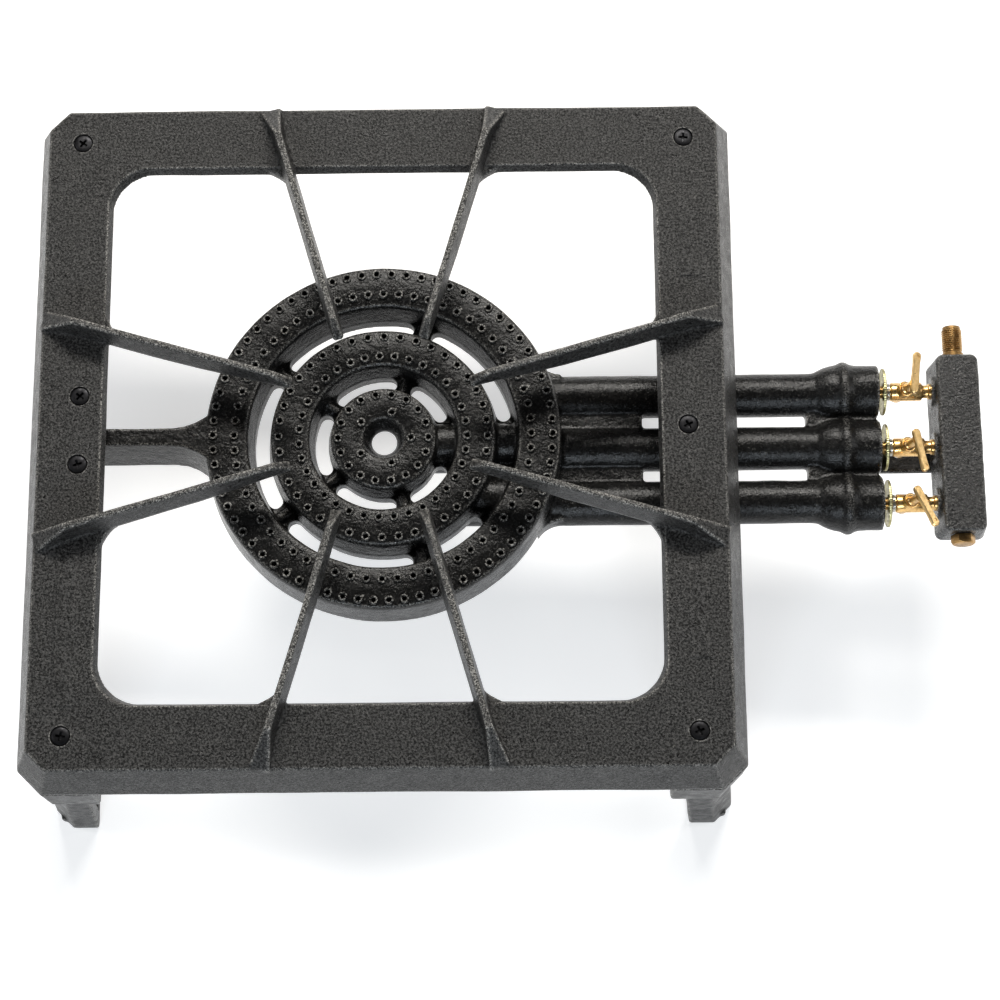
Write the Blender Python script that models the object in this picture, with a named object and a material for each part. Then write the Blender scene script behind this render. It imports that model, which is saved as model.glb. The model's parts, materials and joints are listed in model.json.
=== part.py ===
"""Propane burner stand: a cast-iron pan support with a three-ring gas burner.

Metres, +Z up.  Everything hangs on the empty "stand", which sits at the burner's centre, level with the
frame's top face.  The world origin is under the middle of the whole object, on the surface it stands on.
+X runs from the burner to the gas valves, +Y to the gas inlet.
"""

import math

import bmesh
import bpy
from mathutils import Matrix, Vector

# Whole object
FRAME_HALF = 0.2005            # half the side of the frame, at the bottom of its skirt
STAND_HEIGHT = 0.1540          # top face of the frame above the ground
GAP = 0.0003                   # left between pieces that touch

# Frame casting
TOP_HALF = 0.1915              # half the side of the frame's top face
TOP_CHAMFER = 0.0110
SKIRT_CHAMFER = 0.0140
SKIRT_DEPTH = 0.0272
SKIRT_WALL = 0.0045
PLATE_THICKNESS = 0.0065
EDGE_BREAK = 0.0010
WINDOW_HALF = 0.1565
WINDOW_DRAFT = 0.0020
WINDOW_RADIUS = 0.0240
CORNER_STEPS = 5

# Pan ribs, two from each side of the frame
RIB_OUTER = (0.0650, 0.1915)   # plan position of a rib's outer end
RIB_TIP = (0.0265, 0.0593)     # plan position of the end of its crest
RIB_HEIGHT = 0.0160            # crest above the frame's top face
RIB_COUNT = 8

# Screws through the frame's top face
SCREW_RADIUS = 0.0030
SCREW_HEAD_RADIUS = 0.0053
SCREW_HEAD_RIM = 0.0004
SCREW_HEAD_DEPTH = 0.0030
LEG_SCREW_OFFSET = 0.1725
LEG_SCREW_LENGTH = 0.0220
ARM_SCREW_X = -0.1689
ARM_SCREW_Y = 0.0198
LUG_SCREW_X = 0.1710
SHORT_SCREW_LENGTH = 0.0160

# Legs
LEG_ARM = 0.0430               # side of the leg's shoulder
LEG_WALL = 0.0080
LEG_BOSS_RADIUS = 0.0110
SHOULDER_BOTTOM = -0.0640
FOOT_ARM = {"front": 0.0250, "rear": 0.0180}
FOOT_CHAMFER = 0.0104
FOOT_SPLAY = 0.0075            # how far the foot stands in from the frame's side at its top

# Burner casting
RING_TOPS = (-0.0202, -0.0172, -0.0140)  # the rings step down towards the centre
RING_CROWN = 0.0008            # fall from the crown of a ring to its shoulders
RING_SHOULDER = 0.0035
WEB_TOP = -0.0340
RING_BOTTOM = -0.0440
RINGS = ((0.0072, 0.0298), (0.0420, 0.0635), (0.0763, 0.1003))
WALL_DRAFT = 0.0018            # how far the rings' walls spread down to the floor
RIM_DRAFT = 0.0014             # the same for the outside of the whole casting
RING_WALL = 0.0038
RING_ROOF = 0.0035             # metal above each ring's channel
CHANNEL_BOTTOM = -0.0390
RING_SEGMENTS = 40
SPOKE_ANGLE = 72.0
SPOKE_HALF_WIDTH = 0.0046

# Mixing tubes
TUBE_PITCH = 0.0319
AXIS_Z = -0.0500               # the tubes, jets, valves and manifold share this height
TUBE_RADIUS = 0.0123
TUBE_BORE = 0.0092
BEND_START = 0.2430            # between these the outer tubes shift out to the valves' pitch
BEND_END = 0.2620
BELL_START = 0.2470
BELL_RADIUS = 0.0160
MOUTH_RADIUS = 0.0153
BEAD_RADIUS = 0.0175
BEAD_X = 0.2640
MOUTH_X = 0.2840
MOUTH_BORE = 0.0122
FEED_BORE = 0.0055             # from the end of each tube up into its ring
TUBE_SEGMENTS = 18
WEB_HALF_THICKNESS = 0.0050
INNER_WEB_END = 0.1475
OUTER_WEB_START = 0.2420
ARM_TOP_HALF = 0.0047          # half widths of the arm's top and bottom
ARM_BOTTOM_HALF = 0.0088

# Valves
VALVE_TILT = math.radians(20.0)  # the plug leans towards the manifold
VALVE_PITCH = 0.0334
PLUG_X = 0.2977                # where the plug's axis crosses the valve's
VALVE_RADIUS = 0.0053
VALVE_START = 0.2914
VALVE_SEGMENTS = 16
VALVE_END = 0.3095
COLLAR_START = 0.3128
COLLAR_END = 0.3150
BOSS_RADIUS = 0.0045
BOSS_REACH = 0.0066            # end faces of the plug's boss, along the plug
PLUG_TOP_RADIUS = 0.0032
PLUG_FOOT_RADIUS = 0.0026
PLUG_CLEARANCE = 0.00025
GAS_BORE = 0.0016
STEM_RADIUS = 0.0026
STUD_RADIUS = 0.0014
LEVER_HEIGHT = 0.0170          # middle of the lever above the valve's axis, along the plug
LEVER_THICKNESS = 0.0030
LEVER_WIDTH = 0.0047
LEVER_LONG = 0.0192
LEVER_SHORT = 0.0062
TAIL_RADIUS = 0.0040            # screwed into the manifold
SPIGOT_RADIUS = 0.0038
SPIGOT_START = 0.2790

# Air shutters
SHUTTER_X = 0.2877
SHUTTER_RADIUS = 0.0135
SHUTTER_THICKNESS = 0.0010
SPRING_WIRE = 0.0004           # radius of the wire
SPRING_RADIUS = 0.0047         # radius of the coil's centre line

# Manifold
MANIFOLD_START = 0.3145        # at its bottom
MANIFOLD_END = 0.3433
MANIFOLD_DRAFT = (0.0028, 0.0023)  # by which its top is shorter at the valves and at the far side
MANIFOLD_HALF_HEIGHT = 0.0120
MANIFOLD_HALF_LENGTH = 0.0525
MANIFOLD_ROUNDING = 0.0045     # upright corners
MANIFOLD_EDGE = 0.0018         # top edges
GALLERY_RADIUS = 0.0045
NIPPLE_RADIUS = 0.0058
NIPPLE_LENGTH = 0.0200
NIPPLE_BORE = 0.0035
PLUG_HEX = 0.0061              # half the width across the plug's flats
PLUG_HEX_LENGTH = 0.0055
PLUG_THREAD = 0.0050           # radius
THREAD_DEPTH = 0.0100

# Bracket strap under the bells and the manifold
STRAP_TOP = -0.0696
STRAP_THICKNESS = 0.0050
STRAP_HALF_WIDTH = 0.0090
STRAP_START = 0.2520
STRAP_END = 0.3400
STRAP_SCREW_X = (0.2740, 0.3290)
STRAP_SCREW_RADIUS = 0.0020
STRAP_HEX = 0.0040

MANIFOLD_X = (MANIFOLD_START + MANIFOLD_END) / 2
BURNER_X = (FRAME_HALF - MANIFOLD_END) / 2
TUBE_ROWS = {"rear": TUBE_PITCH, "middle": 0.0, "front": -TUBE_PITCH}
ROWS = {"rear": VALVE_PITCH, "middle": 0.0, "front": -VALVE_PITCH}

# Where each tube feeds its ring, and which way each lever points, in degrees from +X about the plug
FEED_RADIUS = {"rear": 0.0880, "middle": 0.0180, "front": 0.0527}
LEVER_ANGLE = {"rear": 81.5, "middle": -78.0, "front": -62.0}


def clear_scene():
    for item in list(bpy.data.objects):
        bpy.data.objects.remove(item, do_unlink=True)


def make_material(name, color, roughness, metallic):
    material = bpy.data.materials.new(name)
    material.use_nodes = True
    shader = material.node_tree.nodes["Principled BSDF"]
    shader.inputs["Base Color"].default_value = (*color, 1.0)
    shader.inputs["Roughness"].default_value = roughness
    shader.inputs["Metallic"].default_value = metallic
    return material


# ---- Mesh building ----

def mesh_from(bm, name):
    """Turn a closed bmesh into a mesh with its faces pointing out."""
    bmesh.ops.recalc_face_normals(bm, faces=bm.faces)
    mesh = bpy.data.meshes.new(name)
    bm.to_mesh(mesh)
    bm.free()
    return mesh


def loft(rings, closed=False):
    """Skin a row of rings of equal point count; closed joins the last ring to the first."""
    bm = bmesh.new()
    loops = [[bm.verts.new(point) for point in ring] for ring in rings]
    count = len(loops[0])
    pairs = list(zip(loops, loops[1:]))
    if closed:
        pairs.append((loops[-1], loops[0]))
    for low, high in pairs:
        for i in range(count):
            j = (i + 1) % count
            bm.faces.new((low[i], low[j], high[j], high[i]))
    if not closed:
        bm.faces.new(loops[0])
        bm.faces.new(loops[-1])
    return mesh_from(bm, "loft")


def revolve(profile, segments, turned=Matrix()):
    """Turn (radius, height) points about Z; a profile that leaves the axis is closed on itself."""
    bm = bmesh.new()
    columns = []
    for radius, height in profile:
        if radius == 0.0:
            columns.append([bm.verts.new((0.0, 0.0, height))])
            continue
        angles = [2 * math.pi * i / segments for i in range(segments)]
        columns.append([bm.verts.new((radius * math.cos(a), radius * math.sin(a), height)) for a in angles])
    pairs = list(zip(columns, columns[1:]))
    if profile[0][0] > 0.0:
        pairs.append((columns[-1], columns[0]))
    for first, second in pairs:
        for i in range(segments):
            j = (i + 1) % segments
            corners = [first[i % len(first)], first[j % len(first)],
                       second[j % len(second)], second[i % len(second)]]
            bm.faces.new(list(dict.fromkeys(corners)))
    bmesh.ops.transform(bm, matrix=turned, verts=bm.verts)
    return mesh_from(bm, "revolve")


def prism(outline, low, high):
    """Extrude a plan outline from one height to another."""
    return loft([[(x, y, z) for x, y in outline] for z in (low, high)])


def box(low, high):
    outline = ((low[0], low[1]), (high[0], low[1]), (high[0], high[1]), (low[0], high[1]))
    return prism(outline, low[2], high[2])


def rod(radius, start, end, segments=TUBE_SEGMENTS, turned=Matrix()):
    return revolve(((0.0, start), (radius, start), (radius, end), (0.0, end)), segments, turned)


def moved(mesh, matrix):
    mesh.transform(matrix)
    return mesh


def place(x, y, z):
    return Matrix.Translation((x, y, z))


ALONG_X = Matrix.Rotation(math.pi / 2, 4, "Y")
ALONG_Y = Matrix.Rotation(-math.pi / 2, 4, "X")


def combine(base, tools, operation):
    """Add meshes to a base mesh, or cut them out of it, one after another."""
    body = bpy.data.objects.new("body", base)
    bpy.context.scene.collection.objects.link(body)
    helpers = []
    for tool in tools:
        helper = bpy.data.objects.new("helper", tool)
        bpy.context.scene.collection.objects.link(helper)
        modifier = body.modifiers.new("combine", "BOOLEAN")
        modifier.operation = operation
        modifier.solver = "EXACT"
        modifier.object = helper
        helpers.append(helper)
    depsgraph = bpy.context.evaluated_depsgraph_get()
    result = bpy.data.meshes.new_from_object(body.evaluated_get(depsgraph))
    for item in [body, *helpers]:
        bpy.data.objects.remove(item, do_unlink=True)
    return result


def add(base, *tools):
    return combine(base, tools, "UNION")


def cut(base, *tools):
    return combine(base, tools, "DIFFERENCE")


def bevelled(mesh, width, segments=2):
    """Round every edge of a simple mesh."""
    bm = bmesh.new()
    bm.from_mesh(mesh)
    bmesh.ops.bevel(bm, geom=bm.edges, offset=width, segments=segments, profile=0.5, affect="EDGES")
    return mesh_from(bm, "bevelled")


def piece(name, mesh, material, location=(0.0, 0.0, 0.0), rotation=(0.0, 0.0, 0.0)):
    """Put a finished mesh into the scene as a named sub-part hanging on the stand."""
    mesh.materials.clear()
    mesh.materials.append(material)
    mesh.shade_smooth()
    mesh.set_sharp_from_angle(angle=math.radians(35.0))
    item = bpy.data.objects.new(name, mesh)
    item.location = location
    item.rotation_euler = rotation
    item.parent = STAND
    bpy.context.scene.collection.objects.link(item)
    return item


# ---- Frame and legs ----

def square_outline(half, corner, rounded):
    """Square plan outline whose corners are arcs or flat chamfers of the given size."""
    points = []
    for quarter in range(4):
        turn = Matrix.Rotation(quarter * math.pi / 2, 2)
        for step in range(CORNER_STEPS + 1):
            share = step / CORNER_STEPS
            if rounded:
                angle = share * math.pi / 2
                x = half - corner + corner * math.cos(angle)
                y = half - corner + corner * math.sin(angle)
            else:
                x = half - corner * share
                y = half - corner * (1.0 - share)
            points.append(turn @ Vector((x, y)))
    return points


def square_ring(half, corner, z, rounded=False):
    return [(x, y, z) for x, y in square_outline(half, corner, rounded)]


def rib_mesh(index):
    """One pan rib, lofted from its ramp on the frame to the nose over the burner."""
    outer = Vector(RIB_OUTER)
    along = Vector(RIB_TIP) - outer
    length = along.length
    along.normalize()
    across = Vector((-along.y, along.x))
    # distance from the outer end; crest height and half width; widest level and half width; underside
    stations = ((0.0000, 0.0003, 0.0047, -0.0010, 0.0050, -0.0040),
                (0.0203, RIB_HEIGHT, 0.0016, -0.0006, 0.0036, -0.0040),
                (0.0400, RIB_HEIGHT, 0.0014, -0.0004, 0.0034, -0.0045),
                (0.0930, RIB_HEIGHT, 0.0013, 0.0008, 0.0034, -0.0035),
                (length, RIB_HEIGHT, 0.0013, 0.0075, 0.0034, 0.0048),
                (length + 0.0100, 0.0082, 0.0022, 0.0070, 0.0030, 0.0052))
    rings = []
    for distance, crest, crest_half, widest, widest_half, underside in stations:
        section = ((crest_half, crest), (widest_half, widest), (widest_half * 0.75, underside),
                   (-widest_half * 0.75, underside), (-widest_half, widest), (-crest_half, crest))
        centre = outer + along * distance
        rings.append([(*(centre + across * side), height) for side, height in section])
    mesh = loft(rings)
    if index % 2:
        mesh.transform(Matrix.Scale(-1.0, 4, (1.0, 0.0, 0.0)))
        mesh.flip_normals()
    mesh.transform(Matrix.Rotation((index // 2) * math.pi / 2, 4, "Z"))
    return mesh


def screw_places():
    places = {}
    for row, y in (("rear", LEG_SCREW_OFFSET), ("front", -LEG_SCREW_OFFSET)):
        for side, x in (("left", -LEG_SCREW_OFFSET), ("right", LEG_SCREW_OFFSET)):
            places[f"leg_screw_{row}_{side}"] = (x, y)
    places["arm_screw_rear"] = (ARM_SCREW_X, ARM_SCREW_Y)
    places["arm_screw_front"] = (ARM_SCREW_X, -ARM_SCREW_Y)
    places["lug_screw"] = (LUG_SCREW_X, 0.0)
    return places


def countersink(x, y):
    head = SCREW_HEAD_RADIUS + GAP
    shank = SCREW_RADIUS + GAP
    over = 0.0010
    profile = ((0.0, over), (head, over), (head, -SCREW_HEAD_RIM - 2 * GAP),
               (shank, -SCREW_HEAD_DEPTH - 2 * GAP), (shank, -0.0100), (0.0, -0.0100))
    return revolve(profile, 16, place(x, y, 0.0) @ Matrix.Rotation(0.1, 4, "Z"))


def build_frame(material):
    inner_half = FRAME_HALF - SKIRT_WALL
    roof_half = TOP_HALF - SKIRT_WALL + 0.0010
    plate = loft([square_ring(WINDOW_HALF, WINDOW_RADIUS, 0.0, rounded=True),
                  square_ring(TOP_HALF - EDGE_BREAK, TOP_CHAMFER, 0.0),
                  square_ring(TOP_HALF, TOP_CHAMFER, -EDGE_BREAK),
                  square_ring(FRAME_HALF, SKIRT_CHAMFER, -SKIRT_DEPTH),
                  square_ring(inner_half, SKIRT_CHAMFER - 0.0015, -SKIRT_DEPTH),
                  square_ring(roof_half, TOP_CHAMFER - 0.0010, -PLATE_THICKNESS),
                  square_ring(WINDOW_HALF - WINDOW_DRAFT, WINDOW_RADIUS, -PLATE_THICKNESS, rounded=True)],
                 closed=True)
    ribbed = add(plate, *[rib_mesh(index) for index in range(RIB_COUNT)])
    holes = [countersink(x, y) for x, y in screw_places().values()]
    piece("frame_casting", cut(ribbed, *holes), material)


def leg_outline(far, arm, chamfer):
    """L-shaped plan outline with its back to the corner at (far, far)."""
    inside = far - LEG_WALL
    return ((far, far - arm), (far, far - chamfer), (far - chamfer, far), (far - arm, far),
            (far - arm, inside), (inside, inside), (inside, far - arm))


def leg_mesh(foot_arm):
    """Leg for the rear right corner; the others are its mirror images."""
    levels = ((-SKIRT_DEPTH - GAP, FRAME_HALF, LEG_ARM, SKIRT_CHAMFER),
              (SHOULDER_BOTTOM + 0.0040, FRAME_HALF - 0.0005, LEG_ARM - 0.0025, SKIRT_CHAMFER),
              (SHOULDER_BOTTOM + 0.0010, FRAME_HALF - 0.0022, LEG_ARM - 0.0055, SKIRT_CHAMFER - 0.0020),
              (SHOULDER_BOTTOM - 0.0020, FRAME_HALF - FOOT_SPLAY, foot_arm, FOOT_CHAMFER),
              (-STAND_HEIGHT, FRAME_HALF, foot_arm, FOOT_CHAMFER))
    angle_iron = loft([[(x, y, z) for x, y in leg_outline(far, arm, chamfer)]
                       for z, far, arm, chamfer in levels])
    inside = FRAME_HALF - LEG_ARM + 0.0010
    shelf_edge = FRAME_HALF - LEG_WALL / 2
    shelf = box((inside, inside, -0.0370), (shelf_edge, shelf_edge, -SKIRT_DEPTH - GAP))
    boss = rod(LEG_BOSS_RADIUS, -0.0360, -PLATE_THICKNESS - GAP, 16,
               place(LEG_SCREW_OFFSET, LEG_SCREW_OFFSET, 0.0))
    toe_edge = FRAME_HALF - foot_arm
    toe = box((toe_edge, toe_edge, -STAND_HEIGHT), (shelf_edge, shelf_edge, -STAND_HEIGHT + 0.0080))
    near = FRAME_HALF - 0.0160
    past = FRAME_HALF + 0.0100
    corner_trim = prism(((shelf_edge + 0.0010, near), (near, shelf_edge + 0.0010), (past, past)),
                        -0.0500, -SKIRT_DEPTH + 0.0050)
    shelf = cut(shelf, corner_trim)
    hole = rod(SCREW_RADIUS + GAP, -0.0400, 0.0, 16, place(LEG_SCREW_OFFSET, LEG_SCREW_OFFSET, 0.0))
    return cut(add(angle_iron, shelf, boss, toe), hole)


def build_legs(material):
    for name, mirror in (("rear_right", (1, 1)), ("rear_left", (-1, 1)),
                         ("front_left", (-1, -1)), ("front_right", (1, -1))):
        mesh = leg_mesh(FOOT_ARM[name.split("_")[0]])
        mesh.transform(Matrix.Diagonal((mirror[0], mirror[1], 1.0, 1.0)))
        if mirror[0] * mirror[1] < 0:
            mesh.flip_normals()
        piece(f"leg_{name}", mesh, material)


def cross_recess():
    """Cross-shaped hole for the screwdriver, narrowing downwards."""
    def cross(reach, half, z):
        corner = ((reach, -half), (reach, half), (half, half))
        points = []
        for quarter in range(4):
            turn = Matrix.Rotation(quarter * math.pi / 2, 2)
            points += [(*(turn @ Vector(point)), z) for point in corner]
        return points
    return loft([cross(0.0030, 0.0007, 0.0010), cross(0.0016, 0.0005, -0.0022)])


def screw_mesh(length):
    profile = ((0.0, 0.0), (SCREW_HEAD_RADIUS, 0.0), (SCREW_HEAD_RADIUS, -SCREW_HEAD_RIM),
               (SCREW_RADIUS, -SCREW_HEAD_DEPTH), (SCREW_RADIUS, -length + 0.0010),
               (SCREW_RADIUS - 0.0010, -length), (0.0, -length))
    return cut(revolve(profile, 12), cross_recess())


def build_screws(material):
    long_screw = screw_mesh(LEG_SCREW_LENGTH)
    short_screw = screw_mesh(SHORT_SCREW_LENGTH)
    for index, (name, (x, y)) in enumerate(screw_places().items()):
        mesh = long_screw if name.startswith("leg") else short_screw
        piece(name, mesh, material, location=(x, y, -GAP), rotation=(0.0, 0.0, 0.7 * index))


# ---- Burner ----

def ring_profile():
    """Outline of the three rings and the floor between them, from the centre hole outwards."""
    points = [(RINGS[0][0], RING_BOTTOM), (RINGS[0][0], RING_TOPS[0] - RING_SHOULDER),
              (0.0113, RING_TOPS[0] - RING_CROWN), (0.0200, RING_TOPS[0])]
    for index, ((inner, outer), top) in enumerate(zip(RINGS, RING_TOPS)):
        shoulder = top - RING_CROWN
        edge = top - RING_SHOULDER
        if index:
            points += [(inner - WALL_DRAFT, WEB_TOP), (inner, edge), (inner + RING_SHOULDER * 0.8, shoulder),
                       ((inner + outer) / 2, top)]
        points += [(outer - RING_SHOULDER * 0.8, shoulder), (outer, edge)]
        if index < len(RINGS) - 1:
            points.append((outer + WALL_DRAFT, WEB_TOP))
    rim = RINGS[-1][1] + RIM_DRAFT
    points += [(rim, RING_BOTTOM + 0.0025), (rim - 0.0025, RING_BOTTOM)]
    return points


def arc_slot(inner, outer, start, end):
    """Curved slot cutter through the floor, between two angles in degrees."""
    steps = 2 * round((end - start) / 18.0) + 1
    angles = [math.radians(start + (end - start) * i / steps) for i in range(steps + 1)]
    outline = [(outer * math.cos(a), outer * math.sin(a)) for a in angles]
    outline += [(inner * math.cos(a), inner * math.sin(a)) for a in reversed(angles)]
    return prism(outline, RING_BOTTOM - 0.0300, WEB_TOP + 0.0020)


def floor_slots():
    """Open the floor between the rings, but for five spokes and the tubes passing below it."""
    margin = 0.0010
    slots = []
    for gap in range(2):
        inner = RINGS[gap][1] + WALL_DRAFT + 0.0003
        outer = RINGS[gap + 1][0] - WALL_DRAFT - 0.0003
        middle = (inner + outer) / 2

        def angle_at(y):
            return math.degrees(math.asin(y / middle))

        spoke = angle_at(SPOKE_HALF_WIDTH)
        feed = angle_at(TUBE_RADIUS + margin)
        for index in range(5):
            start = index * SPOKE_ANGLE + (feed if index == 0 else spoke)
            end = (index + 1) * SPOKE_ANGLE - (feed if index == 4 else spoke)
            if gap == 1 and index == 4:
                end = 360.0 - angle_at(TUBE_PITCH + TUBE_RADIUS + margin)
            slots.append(arc_slot(inner, outer, start, end))
        if gap == 1:
            slots.append(arc_slot(inner, outer, -angle_at(TUBE_PITCH - TUBE_RADIUS - margin / 2),
                                  -angle_at(TUBE_RADIUS + margin / 2)))
    return slots


def tube_profile(start):
    return ((0.0, start), (TUBE_RADIUS - 0.0030, start), (TUBE_RADIUS, start + 0.0030),
            (TUBE_RADIUS, BEND_START), (TUBE_RADIUS, BELL_START),
            (BELL_RADIUS - 0.0015, BELL_START + 0.0047), (BELL_RADIUS, BELL_START + 0.0106),
            (BEAD_RADIUS, BEAD_X - 0.0018), (BEAD_RADIUS, BEAD_X + 0.0014),
            (BELL_RADIUS, BEAD_X + 0.0040), (MOUTH_RADIUS, BEAD_X + 0.0110),
            (MOUTH_RADIUS, MOUTH_X - 0.0010), (MOUTH_RADIUS - 0.0010, MOUTH_X), (0.0, MOUTH_X))


def bore_profile(start):
    past = MOUTH_X + 0.0050
    return ((0.0, start), (TUBE_BORE, start), (TUBE_BORE, BEND_START), (TUBE_BORE, BELL_START),
            (MOUTH_BORE, BELL_START + 0.0130), (MOUTH_BORE, BEND_END), (MOUTH_BORE, past), (0.0, past))


def tube_revolve(profile, row):
    """Turn a profile about a tube's axis, which shifts out to the valve's row at the bell."""
    mesh = revolve(profile, TUBE_SEGMENTS, place(0.0, TUBE_ROWS[row], AXIS_Z) @ ALONG_X)
    for vertex in mesh.vertices:
        share = (vertex.co.x - BEND_START) / (BEND_END - BEND_START)
        vertex.co.y += (ROWS[row] - TUBE_ROWS[row]) * min(max(share, 0.0), 1.0)
    return mesh


def feed_place(row):
    """Plan position where a tube turns up into its ring."""
    y = TUBE_ROWS[row]
    return math.sqrt(FEED_RADIUS[row] ** 2 - y ** 2), y


def arm_mesh():
    """Arm from the outer ring to the left bar of the frame."""
    flare = ((-0.0900, 0.0130), (-0.1000, 0.0085), (-0.1070, 0.0035), (-0.1160, 0.0000), (-0.1720, 0.0000))
    sections = []
    for x, spread in flare:
        high = ARM_TOP_HALF + spread
        low = ARM_BOTTOM_HALF + spread
        sections.append([(x, -high, RING_TOPS[-1]), (x, high, RING_TOPS[-1]), (x, low, RING_BOTTOM + 0.0010),
                         (x, -low, RING_BOTTOM + 0.0010)])
    return loft(sections)


def build_burner(material):
    body = revolve(ring_profile(), RING_SEGMENTS)
    tube_starts = {row: feed_place(row)[0] - TUBE_BORE + 0.0010 for row in ROWS}
    tubes = [tube_revolve(tube_profile(tube_starts[row]), row) for row in ROWS]
    webs = [box((0.0950, -TUBE_PITCH, AXIS_Z - WEB_HALF_THICKNESS),
                (INNER_WEB_END, TUBE_PITCH, AXIS_Z + WEB_HALF_THICKNESS)),
            box((OUTER_WEB_START, -TUBE_PITCH, AXIS_Z - WEB_HALF_THICKNESS),
                (MOUTH_X - 0.0020, TUBE_PITCH, AXIS_Z + WEB_HALF_THICKNESS))]
    lug_half_width = 0.0290
    lug_reach = 0.0100
    lug = box((ARM_SCREW_X - lug_reach, -lug_half_width, -0.0150),
              (ARM_SCREW_X + lug_reach, lug_half_width, -PLATE_THICKNESS - GAP))
    tube_lug = rod(0.0090, AXIS_Z, -PLATE_THICKNESS - GAP, 20, place(LUG_SCREW_X, 0.0, 0.0))
    strap_pad = box((STRAP_SCREW_X[0] - 0.0080, -0.0080, AXIS_Z - BELL_RADIUS + 0.0020),
                    (STRAP_SCREW_X[0] + 0.0080, 0.0080, STRAP_TOP + GAP))
    body = add(body, *tubes, *webs, arm_mesh(), lug, tube_lug, strap_pad)

    channels = []
    for (inner, outer), top in zip(RINGS, RING_TOPS):
        low = inner + RING_WALL
        high = outer - RING_WALL
        roof = top - RING_ROOF
        channels.append(revolve(((low, CHANNEL_BOTTOM), (low, roof), (high, roof), (high, CHANNEL_BOTTOM)),
                                RING_SEGMENTS))
    bores = []
    for row in ROWS:
        x, y = feed_place(row)
        bores.append(tube_revolve(bore_profile(tube_starts[row] + 0.0030), row))
        bores.append(rod(FEED_BORE, AXIS_Z - 0.0020, CHANNEL_BOTTOM + 0.0050, 10, place(x + 0.0004, y, 0.0)))
    holes = []
    for name, (x, y) in screw_places().items():
        if not name.startswith("leg"):
            holes.append(rod(SCREW_RADIUS + GAP, -0.0220, 0.0, 16, place(x, y, 0.0)))
    holes.append(rod(STRAP_SCREW_RADIUS + GAP, STRAP_TOP - 0.0020, STRAP_TOP + 0.0038, 12,
                     place(STRAP_SCREW_X[0], 0.0, 0.0)))
    body = cut(body, *floor_slots(), *channels, *bores, *holes)
    piece("burner_casting", body, material)


# ---- Valves and air shutters ----

def plug_space(row):
    """Matrix from a plug's own space, with its axis along Z, to the stand's."""
    return place(PLUG_X, ROWS[row], AXIS_Z) @ Matrix.Rotation(VALVE_TILT, 4, "Y")


def plug_outline(clearance):
    """Tapered plug, from its foot to the underside of the lever."""
    return ((0.0, -BOSS_REACH - 0.0002), (PLUG_FOOT_RADIUS + clearance, -BOSS_REACH - 0.0002),
            (PLUG_TOP_RADIUS + clearance, BOSS_REACH + 0.0002), (0.0, BOSS_REACH + 0.0002))


def valve_body_mesh(row):
    barrel = revolve(((0.0, SPIGOT_START), (SPIGOT_RADIUS, SPIGOT_START), (SPIGOT_RADIUS, VALVE_START),
                      (VALVE_RADIUS - 0.0004, VALVE_START), (VALVE_RADIUS, VALVE_START + 0.0004),
                      (VALVE_RADIUS, VALVE_END), (0.0038, VALVE_END + 0.0006), (0.0038, COLLAR_START),
                      (0.0045, COLLAR_START), (0.0045, COLLAR_END), (TAIL_RADIUS, COLLAR_END),
                      (TAIL_RADIUS, COLLAR_END + 0.0080), (0.0, COLLAR_END + 0.0080)),
                     VALVE_SEGMENTS, place(0.0, ROWS[row], AXIS_Z) @ ALONG_X)
    boss = rod(BOSS_RADIUS, -BOSS_REACH, BOSS_REACH, VALVE_SEGMENTS, plug_space(row))
    plug_hole = revolve([(radius, height * 1.2) for radius, height in plug_outline(PLUG_CLEARANCE)],
                        VALVE_SEGMENTS, plug_space(row) @ Matrix.Rotation(0.1, 4, "Z"))
    along_valve = place(0.0, ROWS[row], AXIS_Z) @ ALONG_X @ Matrix.Rotation(0.2, 4, "Z")
    gas_way = rod(GAS_BORE, SPIGOT_START - 0.0020, COLLAR_END + 0.0100, 10, along_valve)
    jet_seat = rod(0.0024, SPIGOT_START - 0.0020, SPIGOT_START + 0.0060, 10, along_valve)
    return cut(add(barrel, boss), plug_hole, gas_way, jet_seat)


def lever_outline():
    """Plan of the lever, long end along +X, with round ends and a slight waist."""
    points = []
    half = LEVER_WIDTH / 2
    for end, side in ((LEVER_LONG, 1.0), (-LEVER_SHORT, -1.0)):
        for step in range(7):
            angle = math.radians(-90.0 + 30.0 * step)
            points.append((end - side * half + side * half * math.cos(angle), side * half * math.sin(angle)))
        points.append((side * (0.55 * abs(end) - half), side * half * 0.86))
    return points


def handle_mesh(row):
    """Plug, stem and lever, one casting; the gas way across the plug follows the lever."""
    low = LEVER_HEIGHT - LEVER_THICKNESS / 2
    high = LEVER_HEIGHT + LEVER_THICKNESS / 2
    end = -BOSS_REACH - 0.0050
    plug = revolve(((0.0, end), (STUD_RADIUS, end), (STUD_RADIUS, -BOSS_REACH - 0.0002),
                    (PLUG_FOOT_RADIUS, -BOSS_REACH - 0.0002), (PLUG_TOP_RADIUS, BOSS_REACH + 0.0002),
                    (STEM_RADIUS, BOSS_REACH + 0.0014), (STEM_RADIUS, low + 0.0010), (0.0, low + 0.0010)), 14)
    lever = prism(lever_outline(), low, high)
    across = rod(GAS_BORE, -0.0060, 0.0060, 10, ALONG_X)
    mesh = cut(add(plug, lever), across)
    return moved(mesh, Matrix.Rotation(math.radians(LEVER_ANGLE[row]), 4, "Z"))


def hexagon(half_width):
    reach = half_width / math.cos(math.pi / 6)
    angles = [math.radians(60 * i) for i in range(6)]
    return [(reach * math.cos(a), reach * math.sin(a)) for a in angles]


def ring_washer(inner, outer, low, high, segments=16):
    return revolve(((inner, low), (inner, high), (outer, high), (outer, low)), segments)


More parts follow.
